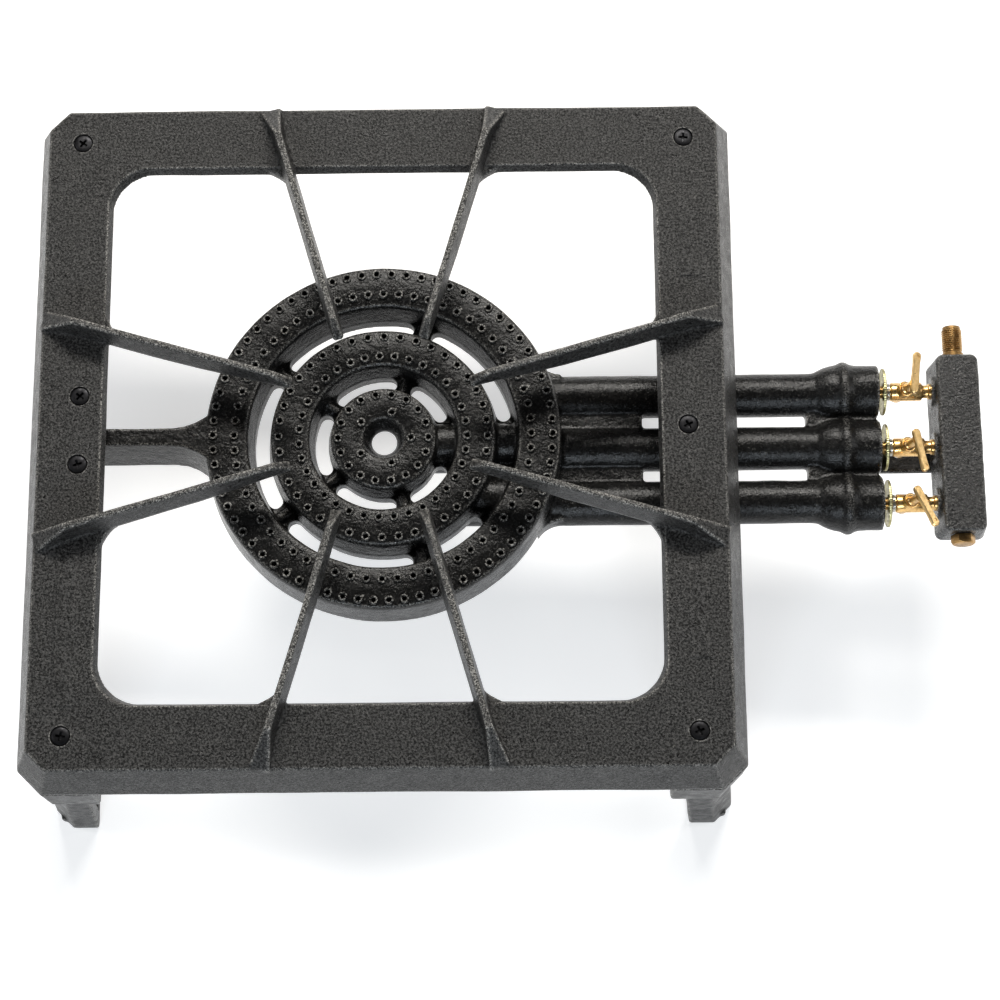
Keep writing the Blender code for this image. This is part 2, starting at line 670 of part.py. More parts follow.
def nut_mesh(half_width, hole, low, high):
    return cut(prism(hexagon(half_width), low, high), rod(hole, low - 0.0010, high + 0.0010, 12))


def shutter_mesh():
    """Dished air shutter with a hub; its hollow side looks along -Z."""
    hub = 0.0052
    bore = SPIGOT_RADIUS + GAP
    half = SHUTTER_THICKNESS / 2
    rim = SHUTTER_RADIUS
    return revolve(((bore, -0.0010), (hub, -0.0010), (hub, -half + 0.0002), (rim - 0.0030, -half),
                    (rim - 0.0004, -half - 0.0010), (rim, -half - 0.0006), (rim, half - 0.0008),
                    (rim - 0.0030, half), (bore, half + 0.0002)), 24)


def shutter_spring(name, row, material):
    """Two-turn spring that keeps the shutter from turning by itself."""
    turns = 2.0
    steps = 24
    start = SHUTTER_X + SHUTTER_THICKNESS / 2 + 0.0002 + GAP + SPRING_WIRE
    travel = VALVE_START - GAP - SPRING_WIRE - start
    points = []
    for step in range(steps + 1):
        angle = 2 * math.pi * turns * step / steps
        points.append((start + travel * step / steps, SPRING_RADIUS * math.cos(angle),
                       SPRING_RADIUS * math.sin(angle)))
    curve = bpy.data.curves.new(name, "CURVE")
    curve.dimensions = "3D"
    curve.bevel_depth = SPRING_WIRE
    curve.bevel_resolution = 0
    curve.use_fill_caps = True
    spline = curve.splines.new("POLY")
    spline.points.add(steps)
    for point, place_on_coil in zip(spline.points, points):
        point.co = (*place_on_coil, 1.0)
    curve.materials.append(material)
    item = bpy.data.objects.new(name, curve)
    item.location = (0.0, ROWS[row], AXIS_Z)
    item.parent = STAND
    bpy.context.scene.collection.objects.link(item)


def jet_mesh():
    """Gas jet screwed into the spigot, its nose towards the burner."""
    seat = 0.0024 - GAP
    return revolve(((0.0004, 0.0050), (seat, 0.0050), (seat, -GAP), (0.0032, -GAP), (0.0032, -0.0030),
                    (0.0012, -0.0055), (0.0004, -0.0055)), 12, place(SPIGOT_START, 0.0, 0.0) @ ALONG_X)


def build_valves(brass, bronze, olive, steel):
    washer_top = -BOSS_REACH - 0.0005
    washer = ring_washer(STUD_RADIUS + GAP, 0.0042, washer_top - 0.0009, washer_top)
    nut_top = washer_top - 0.0009 - GAP
    nut = nut_mesh(0.0027, STUD_RADIUS + GAP, nut_top - 0.0022, nut_top)
    shutter = moved(shutter_mesh(), ALONG_X)
    jet = jet_mesh()
    for row, y in ROWS.items():
        axis = (PLUG_X, y, AXIS_Z)
        leaning = (0.0, VALVE_TILT, 0.0)
        piece(f"valve_body_{row}", valve_body_mesh(row), brass)
        piece(f"valve_handle_{row}", handle_mesh(row), brass, axis, leaning)
        piece(f"plug_washer_{row}", washer, steel, axis, leaning)
        piece(f"plug_nut_{row}", nut, brass, axis, leaning)
        piece(f"jet_{row}", jet, bronze, (0.0, y, AXIS_Z))
        piece(f"air_shutter_{row}", shutter, olive, (SHUTTER_X, y, AXIS_Z))
        shutter_spring(f"shutter_spring_{row}", row, steel)


# ---- Manifold and bracket ----

def bar_level(share, inset):
    """Rounded plan outline of the manifold, at a share of its height from the bottom."""
    start = MANIFOLD_START + MANIFOLD_DRAFT[0] * share + inset
    end = MANIFOLD_END - MANIFOLD_DRAFT[1] * share - inset
    half = MANIFOLD_HALF_LENGTH - inset
    corner = MANIFOLD_ROUNDING - inset
    centres = ((end - corner, half - corner), (start + corner, half - corner),
               (start + corner, corner - half), (end - corner, corner - half))
    points = []
    for quarter, (x, y) in enumerate(centres):
        for step in range(5):
            angle = math.radians(90.0 * quarter + 22.5 * step)
            points.append((x + corner * math.cos(angle), y + corner * math.sin(angle),
                           AXIS_Z + MANIFOLD_HALF_HEIGHT * (2 * share - 1.0)))
    return points


def build_manifold(iron, bronze):
    edge_share = MANIFOLD_EDGE / (2 * MANIFOLD_HALF_HEIGHT)
    bar = loft([bar_level(0.0, 0.0007), bar_level(0.0300, 0.0), bar_level(1.0 - edge_share, 0.0),
                bar_level(1.0 - 0.3 * edge_share, 0.3 * MANIFOLD_EDGE), bar_level(1.0, MANIFOLD_EDGE)])
    lug = box((MANIFOLD_X - 0.0095, -0.0090, STRAP_TOP + GAP),
              (MANIFOLD_X + 0.0095, 0.0090, AXIS_Z - MANIFOLD_HALF_HEIGHT + 0.0030))
    half = MANIFOLD_HALF_LENGTH
    past = half + 0.0050
    along_bar = place(MANIFOLD_X, 0.0, AXIS_Z) @ ALONG_Y
    gallery = rod(GALLERY_RADIUS, -past, past, 16, along_bar)
    inlet_seat = rod(NIPPLE_RADIUS + GAP, half - THREAD_DEPTH, past, 20, along_bar)
    plug_seat = rod(PLUG_THREAD + GAP, -past, -half + THREAD_DEPTH, 20, along_bar)
    ports = [rod(TAIL_RADIUS + GAP, MANIFOLD_START - 0.0030, MANIFOLD_X, 16, place(0.0, y, AXIS_Z) @ ALONG_X)
             for y in ROWS.values()]
    thread = rod(STRAP_SCREW_RADIUS + GAP, STRAP_TOP - 0.0020, STRAP_TOP + 0.0100, 12,
                 place(STRAP_SCREW_X[1], 0.0, 0.0))
    piece("manifold", cut(add(bar, lug), gallery, inlet_seat, plug_seat, *ports, thread), iron)

    collar = NIPPLE_RADIUS + 0.0003
    nipple = revolve(((NIPPLE_BORE, -THREAD_DEPTH + 0.0010), (NIPPLE_RADIUS, -THREAD_DEPTH + 0.0010),
                      (NIPPLE_RADIUS, GAP), (collar, GAP), (collar, 0.0035), (NIPPLE_RADIUS - 0.0005, 0.0045),
                      (NIPPLE_RADIUS, 0.0055), (NIPPLE_RADIUS, NIPPLE_LENGTH - 0.0008),
                      (NIPPLE_RADIUS - 0.0008, NIPPLE_LENGTH), (NIPPLE_BORE, NIPPLE_LENGTH)), 20, ALONG_Y)
    piece("inlet_nipple", nipple, bronze, (MANIFOLD_X, MANIFOLD_HALF_LENGTH, AXIS_Z))

    head = prism(hexagon(PLUG_HEX), GAP, PLUG_HEX_LENGTH)
    screw = rod(PLUG_THREAD, -THREAD_DEPTH + 0.0010, PLUG_HEX_LENGTH - 0.0010, 20)
    plug = moved(add(head, screw), ALONG_Y.inverted())
    piece("manifold_plug", plug, bronze, (MANIFOLD_X, -MANIFOLD_HALF_LENGTH, AXIS_Z))


def build_bracket(iron, steel):
    low = STRAP_TOP - STRAP_THICKNESS
    blank = box((STRAP_START, -STRAP_HALF_WIDTH, low), (STRAP_END, STRAP_HALF_WIDTH, STRAP_TOP))
    strap = bevelled(blank, 0.0008, segments=1)
    holes = [rod(STRAP_SCREW_RADIUS + GAP, low - 0.0010, STRAP_TOP + 0.0010, 12, place(x, 0.0, 0.0))
             for x in STRAP_SCREW_X]
    piece("bracket_strap", cut(strap, *holes), iron)
    reaches = (STRAP_TOP + 0.0030, STRAP_TOP + 0.0085)
    for name, x, reach in zip(("burner", "manifold"), STRAP_SCREW_X, reaches):
        head = prism(hexagon(STRAP_HEX), low - GAP - 0.0030, low - GAP)
        shank = rod(STRAP_SCREW_RADIUS, low - GAP - 0.0010, reach, 12)
        piece(f"strap_screw_{name}", add(head, shank), steel, (x, 0.0, 0.0))


clear_scene()
STAND = bpy.data.objects.new("stand", None)
STAND.location = (BURNER_X, 0.0, STAND_HEIGHT)
bpy.context.scene.collection.objects.link(STAND)

black_iron = make_material("black_iron", (0.022, 0.022, 0.024), 0.45, 0.3)
black_screw = make_material("black_screw", (0.02, 0.02, 0.02), 0.5, 0.8)
golden_brass = make_material("golden_brass", (0.72, 0.46, 0.16), 0.3, 1.0)
dull_bronze = make_material("dull_bronze", (0.42, 0.26, 0.10), 0.4, 1.0)
olive_brass = make_material("olive_brass", (0.42, 0.38, 0.20), 0.35, 1.0)
bright_steel = make_material("bright_steel", (0.62, 0.62, 0.60), 0.3, 1.0)

build_frame(black_iron)
build_legs(black_iron)
build_screws(black_screw)
build_burner(black_iron)
build_valves(golden_brass, dull_bronze, olive_brass, bright_steel)
build_manifold(black_iron, dull_bronze)
build_bracket(black_iron, black_screw)
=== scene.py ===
"""Looks of the propane burner stand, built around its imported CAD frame.

Every shape is made in the stand's own space, in metres: the origin is at the burner's centre, level with
the frame's top face, +X towards the valves and +Y towards the gas inlet.  STAND carries it to the frame.
"""

import json
import math

import bmesh
import bpy
import numpy as np
from mathutils import Matrix, Vector, noise


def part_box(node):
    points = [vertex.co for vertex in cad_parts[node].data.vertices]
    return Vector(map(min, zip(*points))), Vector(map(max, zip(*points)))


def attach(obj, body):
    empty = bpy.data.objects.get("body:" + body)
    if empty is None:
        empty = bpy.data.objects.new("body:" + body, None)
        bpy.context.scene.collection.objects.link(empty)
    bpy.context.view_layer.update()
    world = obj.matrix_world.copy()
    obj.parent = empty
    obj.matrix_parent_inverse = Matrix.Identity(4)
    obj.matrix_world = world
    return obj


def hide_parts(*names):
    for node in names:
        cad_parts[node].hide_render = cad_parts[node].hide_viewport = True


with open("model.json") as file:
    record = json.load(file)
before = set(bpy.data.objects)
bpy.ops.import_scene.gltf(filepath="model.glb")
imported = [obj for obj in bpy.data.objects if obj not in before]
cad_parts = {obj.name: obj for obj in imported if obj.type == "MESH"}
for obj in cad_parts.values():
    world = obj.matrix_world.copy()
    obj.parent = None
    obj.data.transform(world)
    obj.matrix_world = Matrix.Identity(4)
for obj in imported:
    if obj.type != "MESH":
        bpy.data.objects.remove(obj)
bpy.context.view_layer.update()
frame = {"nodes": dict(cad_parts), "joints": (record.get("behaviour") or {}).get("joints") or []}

ROWS = ("rear", "middle", "front")
RIB_HEIGHT = 0.0160


def middle_of(node):
    low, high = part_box(node)
    return (low + high) / 2


# ---- Places read from the CAD frame ----

frame_low, frame_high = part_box("frame_casting")
STAND_X = (frame_low.x + frame_high.x) / 2
STAND_Z = frame_high.z - RIB_HEIGHT
STAND = Matrix.Translation((STAND_X, 0.0, STAND_Z))
TO_STAND = STAND.inverted()

FRAME_HALF = (frame_high.x - frame_low.x) / 2
ROW_Y = {row: middle_of(f"air_shutter_{row}").y for row in ROWS}
TUBE_PITCH = 0.0319
TUBE_Y = {"rear": TUBE_PITCH, "middle": 0.0, "front": -TUBE_PITCH}
AXIS_Z = middle_of("air_shutter_middle").z - STAND_Z
SHUTTER_X = middle_of("air_shutter_middle").x - STAND_X
MOUTH_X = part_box("burner_casting")[1].x - STAND_X
MANIFOLD_LOW, MANIFOLD_HIGH = (TO_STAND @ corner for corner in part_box("manifold"))
MANIFOLD_X = (MANIFOLD_LOW.x + MANIFOLD_HIGH.x) / 2
MANIFOLD_TOP = MANIFOLD_HIGH.z
MANIFOLD_HALF_LENGTH = MANIFOLD_HIGH.y
COLLAR_END = 0.3150            # end of each valve's collar, at the manifold
HINGES = {joint["child"]: joint for joint in frame["joints"] if joint["type"] == "hinge"}


# ---- Mesh building ----

ALONG_X = Matrix.Rotation(math.pi / 2, 4, "Y")
ALONG_Y = Matrix.Rotation(-math.pi / 2, 4, "X")


def place(x, y, z):
    return Matrix.Translation((x, y, z))


def mesh_from(bm, name="shape"):
    bmesh.ops.recalc_face_normals(bm, faces=bm.faces)
    mesh = bpy.data.meshes.new(name)
    bm.to_mesh(mesh)
    bm.free()
    return mesh


def loft(rings, closed=False):
    """Skin a row of rings of equal point count; closed joins the last ring to the first."""
    bm = bmesh.new()
    loops = [[bm.verts.new(point) for point in ring] for ring in rings]
    count = len(loops[0])
    pairs = list(zip(loops, loops[1:]))
    if closed:
        pairs.append((loops[-1], loops[0]))
    for low, high in pairs:
        for i in range(count):
            j = (i + 1) % count
            bm.faces.new((low[i], low[j], high[j], high[i]))
    if not closed:
        bm.faces.new(loops[0])
        bm.faces.new(loops[-1])
    return mesh_from(bm)


def revolve(profile, segments, turned=Matrix()):
    """Turn (radius, height) points about Z; a profile that leaves the axis is closed on itself."""
    bm = bmesh.new()
    columns = []
    for radius, height in profile:
        if radius == 0.0:
            columns.append([bm.verts.new((0.0, 0.0, height))])
            continue
        angles = [2 * math.pi * i / segments for i in range(segments)]
        columns.append([bm.verts.new((radius * math.cos(a), radius * math.sin(a), height)) for a in angles])
    pairs = list(zip(columns, columns[1:]))
    if profile[0][0] > 0.0:
        pairs.append((columns[-1], columns[0]))
    for first, second in pairs:
        for i in range(segments):
            j = (i + 1) % segments
            corners = [first[i % len(first)], first[j % len(first)],
                       second[j % len(second)], second[i % len(second)]]
            bm.faces.new(list(dict.fromkeys(corners)))
    bmesh.ops.transform(bm, matrix=turned, verts=bm.verts)
    return mesh_from(bm)


def prism(outline, low, high):
    return loft([[(x, y, z) for x, y in outline] for z in (low, high)])


def box(low, high):
    outline = ((low[0], low[1]), (high[0], low[1]), (high[0], high[1]), (low[0], high[1]))
    return prism(outline, low[2], high[2])


def rod(radius, start, end, segments=48, turned=Matrix()):
    return revolve(((0.0, start), (radius, start), (radius, end), (0.0, end)), segments, turned)


def moved(mesh, matrix):
    copy = mesh.copy()
    copy.transform(matrix)
    if matrix.determinant() < 0:
        copy.flip_normals()
    return copy


def joined(meshes):
    """One mesh that holds all the given ones as separate shells."""
    bm = bmesh.new()
    for mesh in meshes:
        bm.from_mesh(mesh)
    result = bpy.data.meshes.new("joined")
    bm.to_mesh(result)
    bm.free()
    return result


def with_modifiers(mesh, add_modifiers):
    """The mesh as it comes out of the modifiers that add_modifiers puts on it."""
    body = bpy.data.objects.new("body", mesh)
    bpy.context.scene.collection.objects.link(body)
    helpers = add_modifiers(body) or []
    depsgraph = bpy.context.evaluated_depsgraph_get()
    result = bpy.data.meshes.new_from_object(body.evaluated_get(depsgraph))
    for item in [body, *helpers]:
        bpy.data.objects.remove(item, do_unlink=True)
    return result


def combine(base, tools, operation):
    def add_modifiers(body):
        helpers = []
        for tool in tools:
            helper = bpy.data.objects.new("helper", tool)
            bpy.context.scene.collection.objects.link(helper)
            modifier = body.modifiers.new("combine", "BOOLEAN")
            modifier.operation = operation
            modifier.solver = "MANIFOLD"
            modifier.object = helper
            helpers.append(helper)
        return helpers
    return with_modifiers(base, add_modifiers)


def add(base, *tools):
    return combine(base, tools, "UNION")


def cut(base, *tools):
    return combine(base, tools, "DIFFERENCE")


def melt(meshes, voxel, smoothing):
    """Melt overlapping closed meshes into one skin with soft corners, as casting does."""
    def add_modifiers(body):
        remesh = body.modifiers.new("remesh", "REMESH")
        remesh.mode = "VOXEL"
        remesh.voxel_size = voxel
        smooth = body.modifiers.new("smooth", "SMOOTH")
        smooth.factor = 0.5
        smooth.iterations = smoothing
    return with_modifiers(joined(meshes), add_modifiers)


def bevelled(mesh, width, segments=3, angle=30.0):
    def add_modifiers(body):
        weld = body.modifiers.new("weld", "WELD")
        weld.merge_threshold = 0.00001
        bevel = body.modifiers.new("bevel", "BEVEL")
        bevel.width = width
        bevel.segments = segments
        bevel.limit_method = "ANGLE"
        bevel.angle_limit = math.radians(angle)
        bevel.harden_normals = False
    return with_modifiers(mesh, add_modifiers)


def uneven(mesh, amplitude, size, seed, swell=0.0):
    """Push the skin in and out a little, as a sand mould leaves it; swell makes up for the smoothing."""
    count = len(mesh.vertices)
    places = np.empty(count * 3, np.float32)
    mesh.vertices.foreach_get("co", places)
    places = places.reshape(-1, 3)
    normals = np.empty(count * 3, np.float32)
    mesh.vertices.foreach_get("normal", normals)
    offset = np.array((seed * 7.3, seed * 3.1, seed * 5.7), np.float32)
    waves = [noise.noise(point) for point in (places / size + offset).tolist()]
    lift = np.array(waves, np.float32) * amplitude / 2 + swell
    places += normals.reshape(-1, 3) * lift[:, None]
    mesh.vertices.foreach_set("co", places.ravel())
    mesh.update()
    return mesh


def show(name, mesh, material, body, nodes, sharp=None):
    """Put a finished mesh in the scene in place of its CAD nodes, kept within their box."""
    mesh.transform(STAND)
    corners = np.array([list(corner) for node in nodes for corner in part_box(node)], np.float32)
    places = np.empty(len(mesh.vertices) * 3, np.float32)
    mesh.vertices.foreach_get("co", places)
    places = np.clip(places.reshape(-1, 3), corners.min(axis=0), corners.max(axis=0))
    mesh.vertices.foreach_set("co", places.ravel())
    mesh.materials.clear()
    mesh.materials.append(material)
    mesh.shade_smooth()
    if sharp is not None:
        mesh.set_sharp_from_angle(angle=math.radians(sharp))
    item = bpy.data.objects.new(name, mesh)
    bpy.context.scene.collection.objects.link(item)
    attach(item, body)
    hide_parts(*nodes)
    return item


# ---- Materials ----

BLACK_ENAMEL = (0.0020, 0.0020, 0.0022)
BROWN_ENAMEL = (0.0060, 0.0058, 0.0054)
SPECK_COLOR = (0.300, 0.290, 0.265)
# Pale colour on sharp edges: partly worn bare iron, partly a painted highlight of light catching rounded
# edges.
WORN_AND_HIGHLIT_EDGE_COLOR = (0.62, 0.60, 0.56)


class Nodes:
    """Short hand for building one material's node tree."""

    def __init__(self, name):
        self.material = bpy.data.materials.new(name)
        self.material.use_nodes = True
        self.tree = self.material.node_tree
        self.shader = self.tree.nodes["Principled BSDF"]
        self.where = self.tree.nodes.new("ShaderNodeTexCoord").outputs["Object"]

    def link(self, source, target):
        self.tree.links.new(source, target)

    def noise(self, size, detail=2.0, roughness=0.5):
        node = self.tree.nodes.new("ShaderNodeTexNoise")
        node.inputs["Scale"].default_value = 1.0 / size
        node.inputs["Detail"].default_value = detail
        node.inputs["Roughness"].default_value = roughness
        self.link(self.where, node.inputs["Vector"])
        return node.outputs["Fac"]

    def spread(self, source, low, high, start=0.3, end=0.7):
        node = self.tree.nodes.new("ShaderNodeMapRange")
        node.inputs["From Min"].default_value = start
        node.inputs["From Max"].default_value = end
        node.inputs["To Min"].default_value = low
        node.inputs["To Max"].default_value = high
        self.link(source, node.inputs["Value"])
        return node.outputs["Result"]

    def mix(self, share, first, second):
        node = self.tree.nodes.new("ShaderNodeMix")
        node.data_type = "RGBA"
        self.link(share, node.inputs["Factor"])
        for value, socket in ((first, node.inputs[6]), (second, node.inputs[7])):
            if isinstance(value, tuple):
                socket.default_value = (*value, 1.0)
            else:
                self.link(value, socket)
        return node.outputs[2]

    def bump(self, height, distance, strength=1.0, below=None):
        node = self.tree.nodes.new("ShaderNodeBump")
        node.inputs["Strength"].default_value = strength
        node.inputs["Distance"].default_value = distance
        self.link(height, node.inputs["Height"])
        if below is not None:
            self.link(below, node.inputs["Normal"])
        return node.outputs["Normal"]

    def edges(self, low, high):
        """0 on flat and hollow places, 1 on sharp outer edges."""
        geometry = self.tree.nodes.new("ShaderNodeNewGeometry")
        return self.spread(geometry.outputs["Pointiness"], 0.0, 1.0, low, high)


def iron_material(name, grain, grain_depth, peel, peel_depth, rough, edge_wear_and_highlight, pale, salt, gloss):
    """Black enamel over sand-cast iron.

    grain and peel are the sizes of the fine sand grain and the orange peel, each with its depth; the edge
    weight, pale and salt say how strongly the pale edges (worn bare iron and a painted edge highlight), pale
    specks and the fine light grain show; gloss is the specular level.
    """
    m = Nodes(name)
    fine = m.noise(grain, 4.0, 0.65)
    soft = m.noise(peel, 2.0)
    cloudy = m.noise(0.030, 3.0)
    enamel = m.mix(m.spread(cloudy, 0.0, 1.0), BLACK_ENAMEL, BROWN_ENAMEL)
    peppery = m.noise(grain * 1.15, 3.0, 0.7)
    enamel = m.mix(m.spread(peppery, 0.0, 1.0, 0.42, 0.62), enamel, (salt, salt * 0.98, salt * 0.95))
    patches = m.tree.nodes.new("ShaderNodeMath")
    patches.operation = "MULTIPLY"
    m.link(m.spread(m.noise(grain * 1.3, 4.0, 0.7), 0.0, 1.0, 0.57, 0.68), patches.inputs[0])
    m.link(m.spread(m.noise(0.011, 3.0), 0.10, 1.0, 0.42, 0.62), patches.inputs[1])
    speckled = m.mix(m.spread(patches.outputs[0], 0.0, pale, 0.0, 1.0), enamel, SPECK_COLOR)
    # Sharp edges lightened by pointiness: worn bare iron and a painted edge highlight together.
    worn_and_highlit_edges = m.tree.nodes.new("ShaderNodeMath")
    worn_and_highlit_edges.operation = "MULTIPLY"
    m.link(m.edges(0.508, 0.545), worn_and_highlit_edges.inputs[0])
    m.link(m.spread(m.noise(0.0009, 4.0, 0.75), 0.0, edge_wear_and_highlight, 0.49, 0.60), worn_and_highlit_edges.inputs[1])
    m.link(m.mix(worn_and_highlit_edges.outputs[0], speckled, WORN_AND_HIGHLIT_EDGE_COLOR), m.shader.inputs["Base Color"])
    m.link(m.spread(m.noise(0.006, 3.0), rough - 0.08, rough + 0.10), m.shader.inputs["Roughness"])
    m.shader.inputs["Metallic"].default_value = 0.0
    m.shader.inputs["Specular IOR Level"].default_value = gloss
    peeled = m.bump(soft, peel_depth)
    m.link(m.bump(fine, grain_depth, 1.0, peeled), m.shader.inputs["Normal"])
    return m.material


def metal_material(name, color, dark, rough, grain=0.0006, depth=0.00003, patch=0.004):
    """Bare metal with slight tarnish in patches and a fine tooled or cast grain."""
    m = Nodes(name)
    tarnish = m.spread(m.noise(patch, 4.0, 0.6), 0.0, 1.0, 0.40, 0.72)
    m.link(m.mix(tarnish, color, dark), m.shader.inputs["Base Color"])
    m.link(m.spread(m.noise(patch / 2, 3.0), rough - 0.06, rough + 0.14), m.shader.inputs["Roughness"])
    m.shader.inputs["Metallic"].default_value = 1.0
    m.link(m.bump(m.noise(grain, 3.0), depth), m.shader.inputs["Normal"])
    return m.material


# The edge weights below set both the worn edges and the painted edge highlight.
PLATE_IRON = iron_material("plate_iron", grain=0.0011, grain_depth=0.00055, peel=0.0026, peel_depth=0.00015,
                           rough=0.30, edge_wear_and_highlight=0.7, pale=0.25, salt=0.072, gloss=0.16)
LEG_IRON = iron_material("leg_iron", grain=0.0014, grain_depth=0.00030, peel=0.0035, peel_depth=0.00025,
                         rough=0.36, edge_wear_and_highlight=0.6, pale=0.22, salt=0.022, gloss=0.18)
RING_IRON = iron_material("ring_iron", grain=0.0013, grain_depth=0.00030, peel=0.0035, peel_depth=0.00040,
                          rough=0.22, edge_wear_and_highlight=0.55, pale=0.30, salt=0.010, gloss=0.24)
MANIFOLD_IRON = iron_material("manifold_iron", grain=0.0012, grain_depth=0.00045, peel=0.0024,
                              peel_depth=0.00040, rough=0.24, edge_wear_and_highlight=0.45, pale=0.30, salt=0.040, gloss=0.36)
SCREW_STEEL = metal_material("screw_steel", (0.030, 0.030, 0.032), (0.012, 0.012, 0.013), 0.42)
GOLDEN_BRASS = metal_material("golden_brass", (0.80, 0.53, 0.22), (0.50, 0.30, 0.11), 0.26)
CAST_BRASS = metal_material("cast_brass", (0.83, 0.58, 0.27), (0.58, 0.37, 0.15), 0.33, 0.0008, 0.00006)
DULL_BRONZE = metal_material("dull_bronze", (0.46, 0.28, 0.11), (0.16, 0.09, 0.035), 0.34)
OLIVE_BRASS = metal_material("olive_brass", (0.48, 0.44, 0.24), (0.27, 0.24, 0.12), 0.30)
BRIGHT_STEEL = metal_material("bright_steel", (0.66, 0.66, 0.64), (0.42, 0.42, 0.40), 0.25)


# ---- Frame ----

TOP_HALF = 0.1915
SKIRT_DEPTH = 0.0272
SKIRT_WALL = 0.0045
PLATE_THICKNESS = 0.0065
WINDOW_HALF = 0.1565
WINDOW_DRAFT = 0.0020
WINDOW_RADIUS = 0.0240
RIB_OUTER = Vector((0.0650, 0.1915))
RIB_TIP = Vector((0.0265, 0.0593))
RAMP = 0.0203
CREST_HALF = 0.0014
SCREW_HEAD = 0.0056
SCREW_SHANK = 0.0033


def square_ring(half, corner, z, rounded=False, steps=18):
    """Square ring of points whose corners are arcs or flat chamfers."""
    points = []
    for quarter in range(4):
        turn = Matrix.Rotation(quarter * math.pi / 2, 2)
        for step in range(steps + 1):
            share = step / steps
            if rounded:
                angle = share * math.pi / 2
                corner_point = Vector((half - corner + corner * math.cos(angle),
                                       half - corner + corner * math.sin(angle)))
            else:
                corner_point = Vector((half - corner * share, half - corner * (1.0 - share)))
            points.append((*(turn @ corner_point), z))
    return points


def quarter_turns(mesh):
    """The mesh, its mirror image, and both again on the other three sides."""
    both = [mesh, moved(mesh, Matrix.Scale(-1.0, 4, (1.0, 0.0, 0.0)))]
    return [moved(item, Matrix.Rotation(side * math.pi / 2, 4, "Z")) for side in range(4) for item in both]


def rib_mesh():
    """Pan rib: a flat ramp on the frame, a level crest and a sloping nose."""
    along = RIB_TIP - RIB_OUTER
    length = along.length
    along.normalize()
    outward = Vector((-along.y, along.x))
    stations = []
    for share in (0.0, 0.25, 0.5, 0.75, 1.0):
        crest = CREST_HALF + 0.0004 + 0.0038 * (1.0 - share)
        stations.append((RAMP * share, 0.0004 + (RIB_HEIGHT - 0.0004) * share, crest,
                         crest + 0.0003 + 0.0013 * share, -0.0006, -0.0040))
    stations.append((0.0400, RIB_HEIGHT, CREST_HALF, 0.0034, -0.0004, -0.0045))
    stations.append((0.0930, RIB_HEIGHT, CREST_HALF, 0.0034, 0.0008, -0.0035))
    stations.append((length, RIB_HEIGHT, CREST_HALF, 0.0034, 0.0075, 0.0048))
    stations.append((length + 0.0050, 0.0125, 0.0018, 0.0032, 0.0073, 0.0050))
    stations.append((length + 0.0098, 0.0084, 0.0022, 0.0030, 0.0072, 0.0053))
    rings = []
    for distance, crest, crest_half, low_half, low, underside in stations:
        section = ((crest_half, crest), (low_half, low), (low_half * 0.75, underside),
                   (-low_half * 0.75, underside), (-low_half, low), (-crest_half, crest))
        centre = RIB_OUTER + along * distance
        rings.append([(*(centre + outward * side), height) for side, height in section])
    return loft(rings)


def window_gusset():
    """Concave web in plan where the corner side of a rib meets the window's edge."""
    slope = (RIB_OUTER.x - RIB_TIP.x) / (RIB_OUTER.y - RIB_TIP.y)
    reach = 0.0120
    depth = 0.0110
    curve = []
    for step in range(9):
        share = step / 8
        y = WINDOW_HALF - depth * share
        x = RIB_TIP.x + (y - RIB_TIP.y) * slope + 0.0020 + reach * (1.0 - share) ** 2
        curve.append((x, y))
    foot = (RIB_TIP.x + (WINDOW_HALF - depth - RIB_TIP.y) * slope, WINDOW_HALF - depth)
    head = (RIB_TIP.x + (WINDOW_HALF - RIB_TIP.y) * slope, WINDOW_HALF + 0.0040)
    outline = [head, (curve[0][0], WINDOW_HALF + 0.0040), *curve, foot]
    return prism(outline, -PLATE_THICKNESS - 0.0015, -0.0012)


def screw_places():
    """Plan position of each screw in the frame's face, read from its CAD node."""
    places = {}
    for node in frame["nodes"]:
        if node.startswith(("leg_screw", "arm_screw", "lug_screw")):
            spot = TO_STAND @ middle_of(node)
            places[node] = (spot.x, spot.y)
    return places


def blank_pads():
    """Low plain pads where the casting carries its raised marks."""
    half_width = 0.0052
    spots = ((0.1740, 0.1120, 0.0240), (0.1740, -0.1070, 0.0250), (-0.1720, -0.1140, 0.0420))
    return [box((x - half_width, y - half_length, -0.0020), (x + half_width, y + half_length, 0.0007))
            for x, y, half_length in spots]


def build_frame():
    roof = TOP_HALF - SKIRT_WALL + 0.0010
    plate = loft([square_ring(WINDOW_HALF, WINDOW_RADIUS, 0.0, True),
                  square_ring(TOP_HALF, 0.0110, 0.0),
                  square_ring(FRAME_HALF, 0.0140, -SKIRT_DEPTH),
                  square_ring(FRAME_HALF - SKIRT_WALL, 0.0125, -SKIRT_DEPTH),
                  square_ring(roof, 0.0100, -PLATE_THICKNESS),
                  square_ring(WINDOW_HALF - WINDOW_DRAFT, WINDOW_RADIUS, -PLATE_THICKNESS, True)],
                 closed=True)
    shapes = [plate, *quarter_turns(rib_mesh()), *quarter_turns(window_gusset()), *blank_pads()]
    skin = melt(shapes, 0.0009, 3)
    uneven(skin, 0.0005, 0.030, 1, 0.0002)
    over = 0.0010
    seat = revolve(((0.0, over), (SCREW_HEAD + 0.0004, over), (SCREW_HEAD, -0.0002), (SCREW_HEAD, -0.0010),
                    (SCREW_SHANK, -0.0036), (SCREW_SHANK, -0.0120), (0.0, -0.0120)), 40)
    skin = cut(skin, joined([moved(seat, place(x, y, 0.0)) for x, y in screw_places().values()]))
    show("cast_frame", skin, PLATE_IRON, "root", ["frame_casting"], 50.0)


